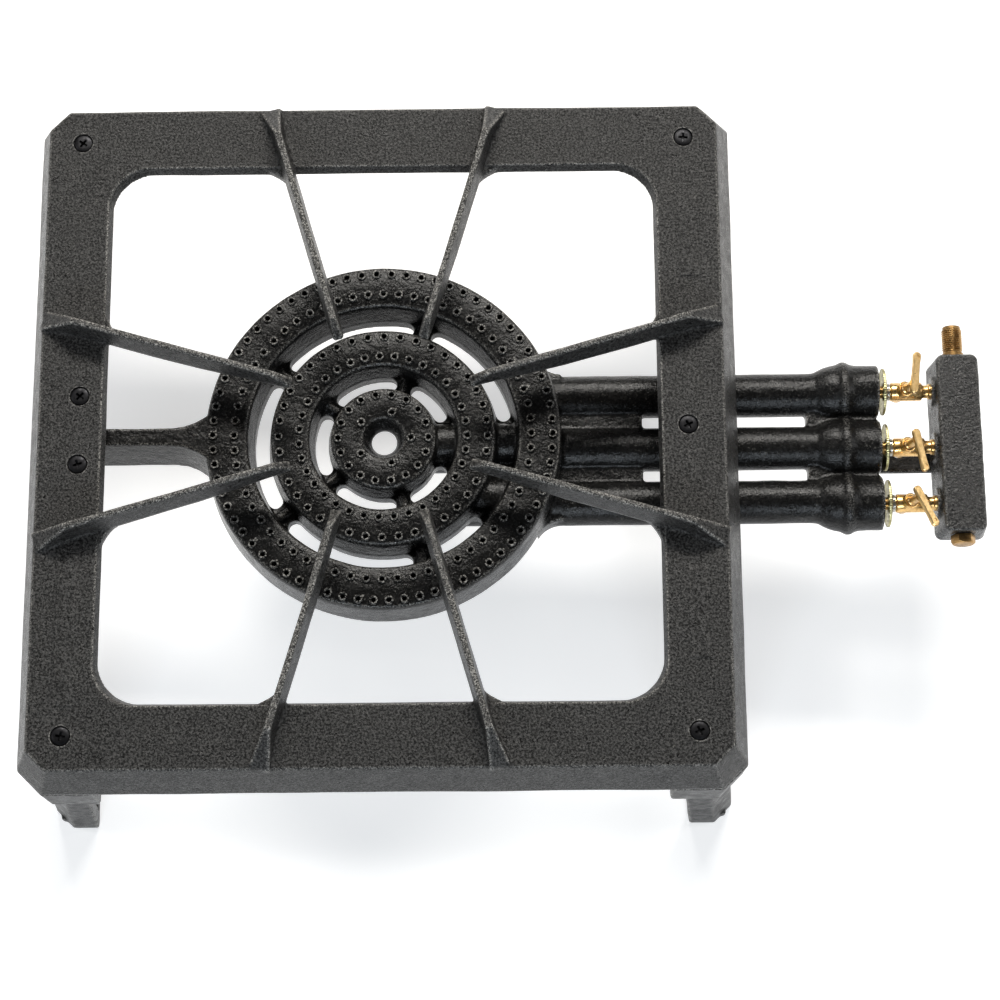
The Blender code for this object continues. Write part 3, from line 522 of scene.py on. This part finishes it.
def build_legs():
    for node in [name for name in frame["nodes"] if name.startswith("leg_") and "screw" not in name]:
        shape = moved(frame["nodes"][node].data, TO_STAND)
        skin = melt([shape], 0.0010, 5)
        uneven(skin, 0.0004, 0.020, 2, 0.0004)
        show(f"cast_{node}", skin, LEG_IRON, "root", [node])


# ---- Screws ----

def cross_recess():
    def cross(reach, half, z):
        points = []
        for quarter in range(4):
            turn = Matrix.Rotation(quarter * math.pi / 2, 2)
            for point in ((reach, -half), (reach, half), (half, half)):
                points.append((*(turn @ Vector(point)), z))
        return points
    return loft([cross(0.0032, 0.0008, 0.0010), cross(0.0017, 0.0005, -0.0024)])


def build_screws():
    head = SCREW_HEAD - 0.0004
    profile = ((0.0, -0.0001), (head * 0.5, -0.0001), (head - 0.0006, -0.0004), (head - 0.0001, -0.0007),
               (head - 0.0001, -0.0010), (SCREW_SHANK - 0.0005, -0.0035), (SCREW_SHANK - 0.0005, -0.0150),
               (0.0, -0.0160))
    screw = cut(revolve(profile, 48), cross_recess())
    screw = bevelled(screw, 0.00015, 2, 40.0)
    for index, (node, (x, y)) in enumerate(screw_places().items()):
        turn = Matrix.Rotation(0.55 * index + 0.3, 4, "Z")
        show(f"{node}_head", moved(screw, place(x, y, 0.0) @ turn), SCREW_STEEL, "root", [node],
             35.0)


# ---- Burner ----

WEB_TOP = -0.0340
RING_BOTTOM = -0.0440
SPOKE_ANGLE = 72.0
# Inner radius, outer radius and top of each ring.
RINGS = ((0.0112, 0.0298, -0.0202), (0.0420, 0.0635, -0.0172), (0.0763, 0.1003, -0.0140))
WALL_DRAFT = 0.0018
RIM_DRAFT = 0.0014
RING_WALL = 0.0038
RING_ROOF = 0.0035
CHANNEL_BOTTOM = -0.0390
# Each row of gas ports: its radius, the number of ports, and its turn as a share of their spacing.
PORT_ROWS = ((0.0956, 70, -0.04), (0.0836, 60, 0.0), (0.0590, 40, -0.03), (0.0474, 35, 0.0),
             (0.0255, 18, 0.0), (0.0156, 5, 0.0))
PORT_BOSS = 0.0025
PORT_HOLE = 0.0014
TUBE_RADIUS = 0.0123
TUBE_BORE = 0.0092
BEND_START = 0.2430
BEND_END = 0.2620
BELL_START = 0.2470
BEAD_X = 0.2640
MOUTH_RADIUS = 0.0153
MOUTH_BORE = 0.0122
FEED_BORE = 0.0055
WEB_HALF_THICKNESS = 0.0050
INNER_WEB_END = 0.1475
OUTER_WEB_START = 0.2420
FEEDS = {"rear": 0.0880, "middle": 0.0180, "front": 0.0527}  # radius at which each tube turns up


def ring_height(radius):
    """Height of the crowned ring tops at a distance from the centre."""
    for inner, outer, top in RINGS:
        if inner <= radius <= outer:
            across = (radius - (inner + outer) / 2) / ((outer - inner) / 2)
            return top - 0.0012 * across * across
    return WEB_TOP


def ring_profile():
    points = [(0.0120, RING_BOTTOM), (0.0073, -0.0325), (0.0073, -0.0305), (0.0090, -0.0267)]
    for index, (inner, outer, _) in enumerate(RINGS):
        if index:
            points.append((inner - WALL_DRAFT, WEB_TOP))
        for share in (0.0, 0.04, 0.15, 0.35, 0.5, 0.65, 0.85, 0.96, 1.0):
            radius = inner + (outer - inner) * share
            drop = 0.0022 if share in (0.0, 1.0) else 0.0
            points.append((radius, ring_height(radius) - drop))
        if index < len(RINGS) - 1:
            points.append((outer + WALL_DRAFT, WEB_TOP))
    rim = RINGS[-1][1] + RIM_DRAFT
    points += [(rim, RING_BOTTOM + 0.0025), (rim - 0.0025, RING_BOTTOM)]
    return points


def arc_slot(inner, outer, start, end):
    """Curved slot with round ends through the floor, between two angles in degrees."""
    middle = (inner + outer) / 2
    half = (outer - inner) / 2
    first = math.radians(start) + half / middle
    last = math.radians(end) - half / middle
    outline = []
    for step in range(25):
        angle = first + (last - first) * step / 24
        outline.append((outer * math.cos(angle), outer * math.sin(angle)))
    for angle, turned in ((last, 0.0), (first, math.pi)):
        centre = Vector((middle * math.cos(angle), middle * math.sin(angle)))
        for step in range(1, 8):
            turn = angle + turned + math.pi * step / 8
            outline.append((centre.x + half * math.cos(turn), centre.y + half * math.sin(turn)))
        if angle == last:
            for step in range(25):
                back = last + (first - last) * step / 24
                outline.append((inner * math.cos(back), inner * math.sin(back)))
    return prism(outline, RING_BOTTOM - 0.0100, WEB_TOP + 0.0030)


def floor_slots():
    """Openings between the rings; the tubes and spokes are laid over them afterwards."""
    slots = []
    for gap in range(2):
        inner = RINGS[gap][1] + WALL_DRAFT + 0.0003
        outer = RINGS[gap + 1][0] - WALL_DRAFT - 0.0003
        middle = (inner + outer) / 2

        def angle_at(y):
            return math.degrees(math.asin(y / middle))

        spoke = angle_at(0.0042 + 0.0010 * gap)
        feed = angle_at(TUBE_RADIUS + 0.0010)
        for index in range(5):
            start = index * SPOKE_ANGLE + (feed if index == 0 else spoke)
            end = (index + 1) * SPOKE_ANGLE - (feed if index == 4 else spoke)
            if gap == 1 and index == 4:
                end = 360.0 - angle_at(TUBE_PITCH + TUBE_RADIUS)
            slots.append(arc_slot(inner, outer, start, end))
    return slots


def spoke_ridges():
    """Round-topped ridges along the spokes, and the humps where tubes pass between the rings."""
    ridges = []
    for index in range(1, 5):
        turn = Matrix.Rotation(math.radians(SPOKE_ANGLE * index), 4, "Z")
        for start, end in ((0.0290, 0.0430), (0.0625, 0.0775)):
            ridges.append(rod(0.0020, start, end, 20, turn @ place(0.0, 0.0, WEB_TOP + 0.0016) @ ALONG_X))
    for y, start, end in ((0.0, 0.0280, 0.0440), (0.0, 0.0620, 0.0790), (TUBE_Y["front"], 0.0500, 0.0730)):
        ridges.append(revolve(((0.0, start), (TUBE_RADIUS - 0.0010, start), (TUBE_RADIUS - 0.0010, end),
                               (0.0, end)), 48, place(0.0, y, AXIS_Z + 0.0150) @ ALONG_X))
    return ridges


def feed_place(row):
    y = TUBE_Y[row]
    return math.sqrt(FEEDS[row] ** 2 - y ** 2), y


def tube_revolve(profile, segments, row):
    """Turn a profile about a tube's axis, which shifts out to the valve's row at the bell."""
    mesh = revolve(profile, segments, place(0.0, TUBE_Y[row], AXIS_Z) @ ALONG_X)
    for vertex in mesh.vertices:
        share = min(max((vertex.co.x - BEND_START) / (BEND_END - BEND_START), 0.0), 1.0)
        vertex.co.y += (ROW_Y[row] - TUBE_Y[row]) * share
    return mesh


def tube_mesh(row):
    start = feed_place(row)[0] - TUBE_BORE + 0.0010
    profile = [(0.0, start), (TUBE_RADIUS - 0.0040, start), (TUBE_RADIUS, start + 0.0040),
               (TUBE_RADIUS, BEND_START), (TUBE_RADIUS, BELL_START), (0.0138, BELL_START + 0.0030),
               (0.0149, BELL_START + 0.0060), (0.0157, BELL_START + 0.0095), (0.0160, BELL_START + 0.0125),
               (0.0168, BEAD_X - 0.0026), (0.0175, BEAD_X - 0.0014), (0.0176, BEAD_X),
               (0.0175, BEAD_X + 0.0012), (0.0167, BEAD_X + 0.0026), (0.0159, BEAD_X + 0.0042),
               (0.0155, BEAD_X + 0.0070),
               (MOUTH_RADIUS, BEAD_X + 0.0110), (MOUTH_RADIUS, MOUTH_X - 0.0004), (0.0, MOUTH_X - 0.0004)]
    return tube_revolve(profile, 96, row)


def arm_mesh():
    rings = []
    for x, high, low in ((-0.0880, 0.0180, 0.0260), (-0.0940, 0.0150, 0.0215), (-0.1000, 0.0115, 0.0165),
                         (-0.1060, 0.0080, 0.0125), (-0.1120, 0.0058, 0.0100), (-0.1180, 0.0049, 0.0090),
                         (-0.1250, 0.0047, 0.0088), (-0.1740, 0.0047, 0.0088)):
        rings.append([(x, -high, -0.0142), (x, high, -0.0142), (x, low, RING_BOTTOM + 0.0010),
                      (x, -low, RING_BOTTOM + 0.0010)])
    return loft(rings)


def tube_fillets():
    """Hollow curves in plan between the outer tubes and the outer ring."""
    line = TUBE_PITCH + TUBE_RADIUS - 0.0006
    rim = RINGS[-1][1] + RIM_DRAFT - 0.0004
    radius = 0.0160
    centre_y = line + radius
    centre_x = math.sqrt((rim + radius) ** 2 - centre_y ** 2)
    last = math.atan2(-centre_y, -centre_x)
    fillets = []
    for side in (1.0, -1.0):
        outline = [(0.0780, side * (line - 0.0080)), (centre_x, side * (line - 0.0080))]
        for step in range(9):
            angle = -math.pi / 2 + (last + math.pi / 2) * step / 8
            y = centre_y + radius * math.sin(angle)
            outline.append((centre_x + radius * math.cos(angle), side * y))
        fillets.append(prism(outline, AXIS_Z - 0.0050, RING_BOTTOM + 0.0030))
    return fillets


def port_angles(count, shift):
    return [2 * math.pi * (index + shift) / count for index in range(count)]


def port_pieces(profile, segments):
    """The same small turned shape standing on every port."""
    shape = revolve(profile, segments)
    places = []
    for radius, count, shift in PORT_ROWS:
        for angle in port_angles(count, shift):
            places.append(place(radius * math.cos(angle), radius * math.sin(angle), ring_height(radius)))
    return joined([moved(shape, spot) for spot in places])


def build_burner():
    ring = cut(revolve(ring_profile(), 192), *floor_slots())
    web_low, web_high = AXIS_Z - WEB_HALF_THICKNESS, AXIS_Z + WEB_HALF_THICKNESS
    webs = [box((start, -TUBE_PITCH, web_low), (end, TUBE_PITCH, web_high))
            for start, end in ((0.0900, INNER_WEB_END), (OUTER_WEB_START, MOUTH_X - 0.0020))]
    lug_low, lug_high = -0.0150, -0.0068
    lug = box((-0.1789, -0.0290, lug_low), (-0.1589, 0.0290, lug_high))
    screws = screw_places()
    tube_lug = rod(0.0090, AXIS_Z, lug_high, 40, place(*screws["lug_screw"], 0.0))
    strap_top = TO_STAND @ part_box("bracket_strap")[1]
    pad = box((0.2660, -0.0080, AXIS_Z - 0.0150), (0.2820, 0.0080, strap_top.z + 0.0003))
    shapes = [ring, *[tube_mesh(row) for row in ROWS], *webs, *spoke_ridges(), *tube_fillets(), arm_mesh(),
              lug, tube_lug, pad]
    skin = melt(shapes, 0.0009, 4)
    uneven(skin, 0.0005, 0.016, 3, 0.00015)

    boss = ((0.0, -0.0020), (PORT_BOSS + 0.0003, -0.0020), (PORT_BOSS + 0.0003, 0.0000),
            (PORT_BOSS, 0.0005), (PORT_BOSS, 0.0011), (PORT_BOSS - 0.0002, 0.0014), (0.0, 0.0014))
    skin = add(skin, port_pieces(boss, 20))
    channels = []
    for index, (inner, outer, top) in enumerate(RINGS):
        low = inner + RING_WALL
        high = outer - RING_WALL
        foot = low + (0.0030 if index == 0 else 0.0)
        roof = top - RING_ROOF
        channels.append(revolve(((foot, CHANNEL_BOTTOM), (low - 0.0026, roof), (high, roof),
                                 (high, CHANNEL_BOTTOM)), 96))
    bores = []
    for row in ROWS:
        x, y = feed_place(row)
        past = MOUTH_X + 0.0050
        start = x - TUBE_BORE + 0.0040
        bore = ((0.0, start), (TUBE_BORE, start), (TUBE_BORE, BEND_START), (TUBE_BORE, BELL_START),
                (MOUTH_BORE, BELL_START + 0.0130), (MOUTH_BORE, BEND_END), (MOUTH_BORE, MOUTH_X - 0.0014),
                (MOUTH_BORE + 0.0030, past), (0.0, past))
        bores.append(tube_revolve(bore, 64, row))
        bores.append(rod(FEED_BORE, AXIS_Z - 0.0020, CHANNEL_BOTTOM + 0.0050, 32, place(x + 0.0004, y, 0.0)))
    screw_holes = [rod(SCREW_SHANK, -0.0220, 0.0, 32, place(*screws[node], 0.0))
                   for node in ("arm_screw_rear", "arm_screw_front", "lug_screw")]
    depth = RING_ROOF + 0.0030
    hole = ((0.0, -depth), (PORT_HOLE, -depth), (PORT_HOLE, 0.0011), (PORT_HOLE + 0.0006, 0.0020),
            (0.0, 0.0020))
    skin = cut(skin, *channels, *bores, *screw_holes, port_pieces(hole, 14))
    show("cast_burner", skin, RING_IRON, "root", ["burner_casting"], 50.0)


# ---- Valves ----

def plug_space(row):
    """Matrix from a plug's own space, with its axis along Z, to the stand's."""
    hinge = HINGES[f"handle_{row}"]
    axis = Vector(hinge["axis"])
    tilt = math.atan2(axis.x, axis.z)
    return TO_STAND @ Matrix.Translation(hinge["pos_m"]) @ Matrix.Rotation(tilt, 4, "Y")


def build_valve_bodies():
    start = TO_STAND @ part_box("valve_body_middle")[0]
    end = TO_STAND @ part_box("valve_body_middle")[1]
    face = COLLAR_END
    spigot = []
    length = 0.2914 - start.x
    turns = 11
    for step in range(turns * 4 + 1):
        depth = 0.0003 if step % 4 in (1, 2) else 0.0
        spigot.append((0.0038 - depth, start.x + length * step / (turns * 4)))
    profile = [(0.0, start.x), *spigot, (0.0048, 0.2915), (0.0053, 0.2920), (0.0053, 0.3088),
               (0.0050, 0.3094), (0.0040, 0.3098), (0.0038, 0.3104), (0.0038, 0.3128), (0.0042, 0.3131),
               (0.0045, 0.3135),
               (0.0045, face - 0.0004), (0.0042, face), (0.0040, face), (0.0040, end.x), (0.0, end.x)]
    for row in ROWS:
        along = place(0.0, ROW_Y[row], AXIS_Z) @ ALONG_X
        plug = plug_space(row)
        boss = revolve(((0.0, -0.0066), (0.0043, -0.0066), (0.0046, -0.0062), (0.0046, 0.0061),
                        (0.0044, 0.0065), (0.0040, 0.0066), (0.0, 0.0066)), 56, plug)
        taper = revolve(((0.0, -0.0080), (0.00275, -0.0080), (0.00350, 0.0080), (0.0, 0.0080)), 48, plug)
        gas_way = rod(0.0016, start.x - 0.0010, end.x + 0.0010, 24, along)
        seat = rod(0.0024, start.x - 0.0010, start.x + 0.0060, 24, along)
        body = cut(add(revolve(profile, 64, along), boss), taper, gas_way, seat)
        show(f"brass_body_{row}", bevelled(body, 0.00012, 2, 40.0), GOLDEN_BRASS, "root",
             [f"valve_body_{row}"], 35.0)


def lever_outline(inset=0.0):
    """Plan of the lever, long end along +X: round ends, a slight waist and a broader thumb end."""
    long_end, short_end, half = 0.0192 - inset, 0.0062 - inset, 0.00235 - inset
    points = []
    for step in range(13):
        angle = math.radians(-90.0 + 15.0 * step)
        points.append((long_end - half + half * math.cos(angle), half * math.sin(angle)))
    points += [(0.0125, half * 0.86), (0.0060, half * 0.88), (0.0010, half)]
    for step in range(13):
        angle = math.radians(90.0 + 15.0 * step)
        points.append((-short_end + half + half * math.cos(angle), half * math.sin(angle)))
    points += [(0.0010, -half), (0.0060, -half * 0.88), (0.0125, -half * 0.86)]
    return points


def build_handles():
    low, high = 0.0155, 0.0185
    edge = 0.0006
    for row in ROWS:
        lever = loft([[(x, y, z) for x, y in lever_outline(inset)]
                      for inset, z in ((edge, low), (0.0, low + edge), (0.0, high - edge), (edge, high))])
        dimple = rod(0.0012, high - 0.0005, high + 0.0010, 24, place(0.0158, 0.0, 0.0))
        plug = revolve(((0.0, -0.0116), (0.0012, -0.0116), (0.0014, -0.0112), (0.0014, -0.0068),
                        (0.0026, -0.0068), (0.0032, 0.0068), (0.0031, 0.0074), (0.0026, 0.0080),
                        (0.0026, 0.0140), (0.0030, low + 0.0008), (0.0, low + 0.0008)), 48)
        across = rod(0.0016, -0.0060, 0.0060, 24, ALONG_X)
        casting = cut(add(lever, plug), across, dimple)
        spot = plug_space(row) @ Matrix.Rotation(lever_angle(row), 4, "Z")
        show(f"brass_handle_{row}", moved(casting, spot), CAST_BRASS, f"handle_{row}",
             [f"valve_handle_{row}"], 30.0)


def lever_angle(row):
    """Direction of a lever's long end about its plug, found from the CAD lever itself."""
    to_plug = plug_space(row).inverted() @ TO_STAND
    points = [to_plug @ vertex.co for vertex in frame["nodes"][f"valve_handle_{row}"].data.vertices]
    tip = max(points, key=lambda point: point.x ** 2 + point.y ** 2)
    ends = [point for point in points if point.xy.length > tip.xy.length * 0.97]
    middle = sum(ends, Vector()) / len(ends)
    return math.atan2(middle.y, middle.x)


def knurled(radius, segments, depth):
    """Ring of radii for a milled rim."""
    return [radius - (depth if index % 4 in (0, 1) else 0.0) for index in range(segments)]


def shutter_mesh():
    """Dished disc with a milled rim and a threaded hub; its hollow side looks at the bell along -Z."""
    segments = 240
    bore, hub, rim = 0.0041, 0.0052, 0.0135
    profile = [(bore, -0.0010), (hub - 0.0003, -0.0010), (hub, -0.0007), (hub, -0.0003)]
    for share in (0.2, 0.4, 0.6, 0.8, 0.9, 0.96):
        profile.append((hub + (rim - hub) * share, -0.0003 - 0.0011 * share ** 3))
    profile += [(rim - 0.0001, -0.0014), (rim, -0.0011), (rim, -0.0002), (rim - 0.0002, 0.0000)]
    for share in (0.9, 0.7, 0.5, 0.3, 0.1):
        profile.append((hub + (rim - hub) * share, 0.0007 - 0.0006 * share ** 3))
    profile += [(hub, 0.0007), (bore, 0.0007)]
    bm = bmesh.new()
    columns = []
    for radius, height in profile:
        radii = knurled(radius, segments, 0.00018) if radius > rim - 0.0006 else [radius] * segments
        column = []
        for index, reach in enumerate(radii):
            angle = 2 * math.pi * index / segments
            column.append(bm.verts.new((reach * math.cos(angle), reach * math.sin(angle), height)))
        columns.append(column)
    for first, second in zip(columns, [*columns[1:], columns[0]]):
        for i in range(segments):
            j = (i + 1) % segments
            bm.faces.new((first[i], first[j], second[j], second[i]))
    return mesh_from(bm)


def coil_mesh(start, end, radius, wire, turns, steps=96, sides=10):
    """Round wire wound about X, its end turns lying flat."""
    rings = []
    for step in range(steps + 1):
        share = step / steps
        along = start + wire + (end - start - 2 * wire) * (share * share * (3.0 - 2.0 * share))
        angle = 2 * math.pi * turns * share
        outward = Vector((0.0, math.cos(angle), math.sin(angle)))
        centre = Vector((along, 0.0, 0.0)) + outward * radius
        ring = []
        for side in range(sides):
            turn = 2 * math.pi * side / sides
            sideways = Vector((wire * math.sin(turn), 0.0, 0.0))
            ring.append(centre + outward * (wire * math.cos(turn)) + sideways)
        rings.append(ring)
    return loft(rings)


def build_shutters():
    disc = shutter_mesh()
    for row in ROWS:
        turn = place(SHUTTER_X + 0.0005, ROW_Y[row], AXIS_Z) @ ALONG_X
        show(f"shutter_disc_{row}", moved(disc, turn), OLIVE_BRASS, f"shutter_{row}",
             [f"air_shutter_{row}"], 35.0)
        low, high = (TO_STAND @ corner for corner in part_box(f"shutter_spring_{row}"))
        coil = coil_mesh(low.x, high.x, 0.0047, 0.0004, 2.6)
        show(f"spring_coil_{row}", moved(coil, place(0.0, ROW_Y[row], AXIS_Z)), BRIGHT_STEEL, "root",
             [f"shutter_spring_{row}"])


def finish_cad_node(node, material, width):
    """Keep a CAD node whose shape is right, with eased edges and a better material."""
    item = frame["nodes"][node]
    item.data.materials.clear()
    item.data.materials.append(material)
    weld = item.modifiers.new("weld", "WELD")
    weld.merge_threshold = 0.00001
    bevel = item.modifiers.new("bevel", "BEVEL")
    bevel.width = width
    bevel.segments = 2
    bevel.limit_method = "ANGLE"
    bevel.angle_limit = math.radians(32.0)


def build_small_parts():
    for row in ROWS:
        finish_cad_node(f"plug_washer_{row}", BRIGHT_STEEL, 0.00012)
        finish_cad_node(f"plug_nut_{row}", GOLDEN_BRASS, 0.00015)
        finish_cad_node(f"jet_{row}", DULL_BRONZE, 0.00012)
    finish_cad_node("strap_screw_burner", SCREW_STEEL, 0.00025)
    finish_cad_node("strap_screw_manifold", SCREW_STEEL, 0.00025)


# ---- Manifold ----

def bar_level(share, inset):
    """Rounded plan outline of the manifold, at a share of its height from the bottom."""
    start = MANIFOLD_LOW.x + 0.0028 * share + inset
    end = MANIFOLD_HIGH.x - 0.0023 * share - inset
    half = MANIFOLD_HALF_LENGTH - inset
    corner = 0.0045 - min(inset, 0.0030)
    height = MANIFOLD_TOP - 2.0 * (MANIFOLD_TOP - AXIS_Z) * (1.0 - share)
    points = []
    for quarter, (x, y) in enumerate(((end - corner, half - corner), (start + corner, half - corner),
                                      (start + corner, corner - half), (end - corner, corner - half))):
        for step in range(9):
            angle = math.radians(90.0 * quarter + 11.25 * step)
            points.append((x + corner * math.cos(angle), y + corner * math.sin(angle), height))
    return points


def build_manifold():
    levels = ((0.0, 0.0012), (0.015, 0.0004), (0.04, 0.0), (0.92, 0.0), (0.965, 0.0003), (0.99, 0.0009),
              (1.0, 0.0018))
    bar = loft([bar_level(share, inset) for share, inset in levels])
    lug = box((MANIFOLD_X - 0.0095, -0.0090, MANIFOLD_LOW.z),
              (MANIFOLD_X + 0.0095, 0.0090, 2 * AXIS_Z - MANIFOLD_TOP + 0.0030))
    pads = [rod(0.0085, MANIFOLD_LOW.x - 0.0001, MANIFOLD_X, 40, place(0.0, y, AXIS_Z) @ ALONG_X)
            for y in ROW_Y.values()]
    skin = melt([bar, lug, *pads], 0.0007, 3)
    uneven(skin, 0.0003, 0.0026, 4, 0.0001)
    uneven(skin, 0.0004, 0.0120, 5, 0.0001)
    along = place(MANIFOLD_X, 0.0, AXIS_Z) @ ALONG_Y
    half = MANIFOLD_HALF_LENGTH
    gallery = rod(0.0045, -half - 0.0050, half + 0.0050, 40, along)
    inlet = rod(0.0061, half - 0.0100, half + 0.0050, 48, along)
    seat = rod(0.0053, -half - 0.0050, -half + 0.0100, 48, along)
    ports = [rod(0.0043, MANIFOLD_LOW.x - 0.0030, MANIFOLD_X, 40, place(0.0, y, AXIS_Z) @ ALONG_X)
             for y in ROW_Y.values()]
    skin = cut(skin, gallery, inlet, seat, *ports)
    show("cast_manifold", skin, MANIFOLD_IRON, "root", ["manifold"], 50.0)

    strap = melt([moved(frame["nodes"]["bracket_strap"].data, TO_STAND)], 0.0008, 2)
    show("forged_strap", strap, LEG_IRON, "root", ["bracket_strap"])


def thread_mesh(radius, bore, inner, shoulder, length, pitch=0.00125, depth=0.0007, segments=72):
    """Threaded nipple along Z: hidden tail, plain collar, then a real helical thread."""
    rings = []
    rows = []
    tail = [(bore, inner), (radius - 0.0002, inner), (radius, inner + 0.0004), (radius, 0.0002),
            (radius + 0.0003, 0.0004), (radius + 0.0003, shoulder), (radius - depth, shoulder + 0.0006)]
    for reach, height in tail:
        rows.append((reach, height, False))
    count = int((length - shoulder - 0.0016) / (pitch / 8))
    for step in range(count + 1):
        rows.append((radius, shoulder + 0.0008 + step * pitch / 8, True))
    rows.append((radius - depth, length - 0.0003, False))
    rows.append((bore + 0.0004, length, False))
    rows.append((bore, length - 0.0004, False))
    first = shoulder + 0.0008
    last = length - 0.0012
    for reach, height, threaded in rows:
        ring = []
        for index in range(segments):
            angle = 2 * math.pi * index / segments
            out = reach
            if threaded:
                phase = (height / pitch + index / segments) % 1.0
                ridge = 1.0 - abs(2.0 * phase - 1.0)
                fade = min(1.0, (height - first) / pitch, max(0.0, (last - height) / pitch))
                out = reach - depth + depth * min(1.0, 1.25 * ridge) * max(0.0, fade)
            ring.append((out * math.cos(angle), out * math.sin(angle), height))
        rings.append(ring)
    return loft(rings, closed=True)


def hexagon(half_width, z):
    reach = half_width / math.cos(math.pi / 6)
    angles = [math.radians(60 * index) for index in range(6)]
    return [(reach * math.cos(angle), reach * math.sin(angle), z) for angle in angles]


def build_manifold_fittings():
    nipple = thread_mesh(0.0058, 0.0035, -0.0090, 0.0035, 0.0200)
    spot = place(MANIFOLD_X, MANIFOLD_HALF_LENGTH, AXIS_Z) @ ALONG_Y
    show("inlet_thread", moved(nipple, spot), DULL_BRONZE, "root", ["inlet_nipple"], 50.0)

    half, length = 0.0061, 0.0055
    head = loft([hexagon(half, 0.0003), hexagon(half, length)])
    crown = revolve(((0.0, -0.0010), (half * 1.16, -0.0010), (half * 1.16, length - 0.0012),
                     (half * 0.95, length), (0.0, length)), 64)
    head = combine(head, [crown], "INTERSECT")
    screw = rod(0.0050, -0.0090, length - 0.0010, 48)
    plug = bevelled(add(head, screw), 0.0002, 2, 35.0)
    spot = place(MANIFOLD_X, -MANIFOLD_HALF_LENGTH, AXIS_Z) @ ALONG_Y.inverted()
    show("hex_plug", moved(plug, spot), DULL_BRONZE, "root", ["manifold_plug"], 35.0)


# ---- Floor, lights and camera ----

def build_floor():
    bm = bmesh.new()
    bmesh.ops.create_grid(bm, x_segments=1, y_segments=1, size=6.0)
    mesh = bpy.data.meshes.new("floor")
    bm.to_mesh(mesh)
    bm.free()
    floor = bpy.data.objects.new("floor", mesh)
    bpy.context.scene.collection.objects.link(floor)
    material = bpy.data.materials.new("floor")
    material.use_nodes = True
    shader = material.node_tree.nodes["Principled BSDF"]
    shader.inputs["Base Color"].default_value = (0.80, 0.80, 0.80, 1.0)
    shader.inputs["Emission Color"].default_value = (1.0, 1.0, 1.0, 1.0)
    shader.inputs["Emission Strength"].default_value = 0.50
    shader.inputs["Roughness"].default_value = 0.9
    shader.inputs["Specular IOR Level"].default_value = 0.1
    mesh.materials.append(material)


def area_light(name, location, target, size, energy, color):
    data = bpy.data.lights.new(name, "AREA")
    data.shape = "RECTANGLE"
    data.size, data.size_y = size
    data.energy = energy
    data.color = color
    item = bpy.data.objects.new(name, data)
    item.location = location
    item.rotation_mode = "QUATERNION"
    item.rotation_quaternion = (Vector(target) - Vector(location)).to_track_quat("-Z", "Y")
    bpy.context.scene.collection.objects.link(item)


def build_lights():
    centre = (0.0, 0.0, 0.08)
    area_light("rear_window", (0.10, 1.55, 1.75), centre, (1.4, 0.42), 60.0, (1.0, 0.97, 0.92))
    area_light("front_window", (-0.10, -1.90, 1.25), centre, (1.5, 0.35), 26.0, (0.84, 0.92, 1.0))
    area_light("left_window", (-1.90, 0.20, 1.30), centre, (0.5, 1.2), 9.0, (1.0, 1.0, 1.0))
    area_light("right_window", (1.90, 0.20, 1.20), centre, (0.5, 1.2), 9.0, (1.0, 1.0, 1.0))
    world = bpy.data.worlds.new("studio")
    bpy.context.scene.world = world
    world.use_nodes = True
    background = world.node_tree.nodes["Background"]
    background.inputs["Color"].default_value = (1.0, 1.0, 1.0, 1.0)
    background.inputs["Strength"].default_value = 0.05
    bpy.context.scene.view_settings.view_transform = "Standard"


def build_camera():
    data = bpy.data.cameras.new("camera")
    data.sensor_width = 36.0
    data.lens = 90.7
    data.clip_start, data.clip_end = 0.05, 50.0
    camera = bpy.data.objects.new("camera", data)
    camera.location = STAND @ Vector((0.0761, -0.4117, 1.3414))
    camera.rotation_euler = (0.2683, 0.0097, -0.0073)
    bpy.context.scene.collection.objects.link(camera)
    bpy.context.scene.camera = camera


build_camera()
build_frame()
build_legs()
build_screws()
build_burner()
build_valve_bodies()
build_handles()
build_shutters()
build_small_parts()
build_manifold()
build_manifold_fittings()
build_floor()
build_lights()
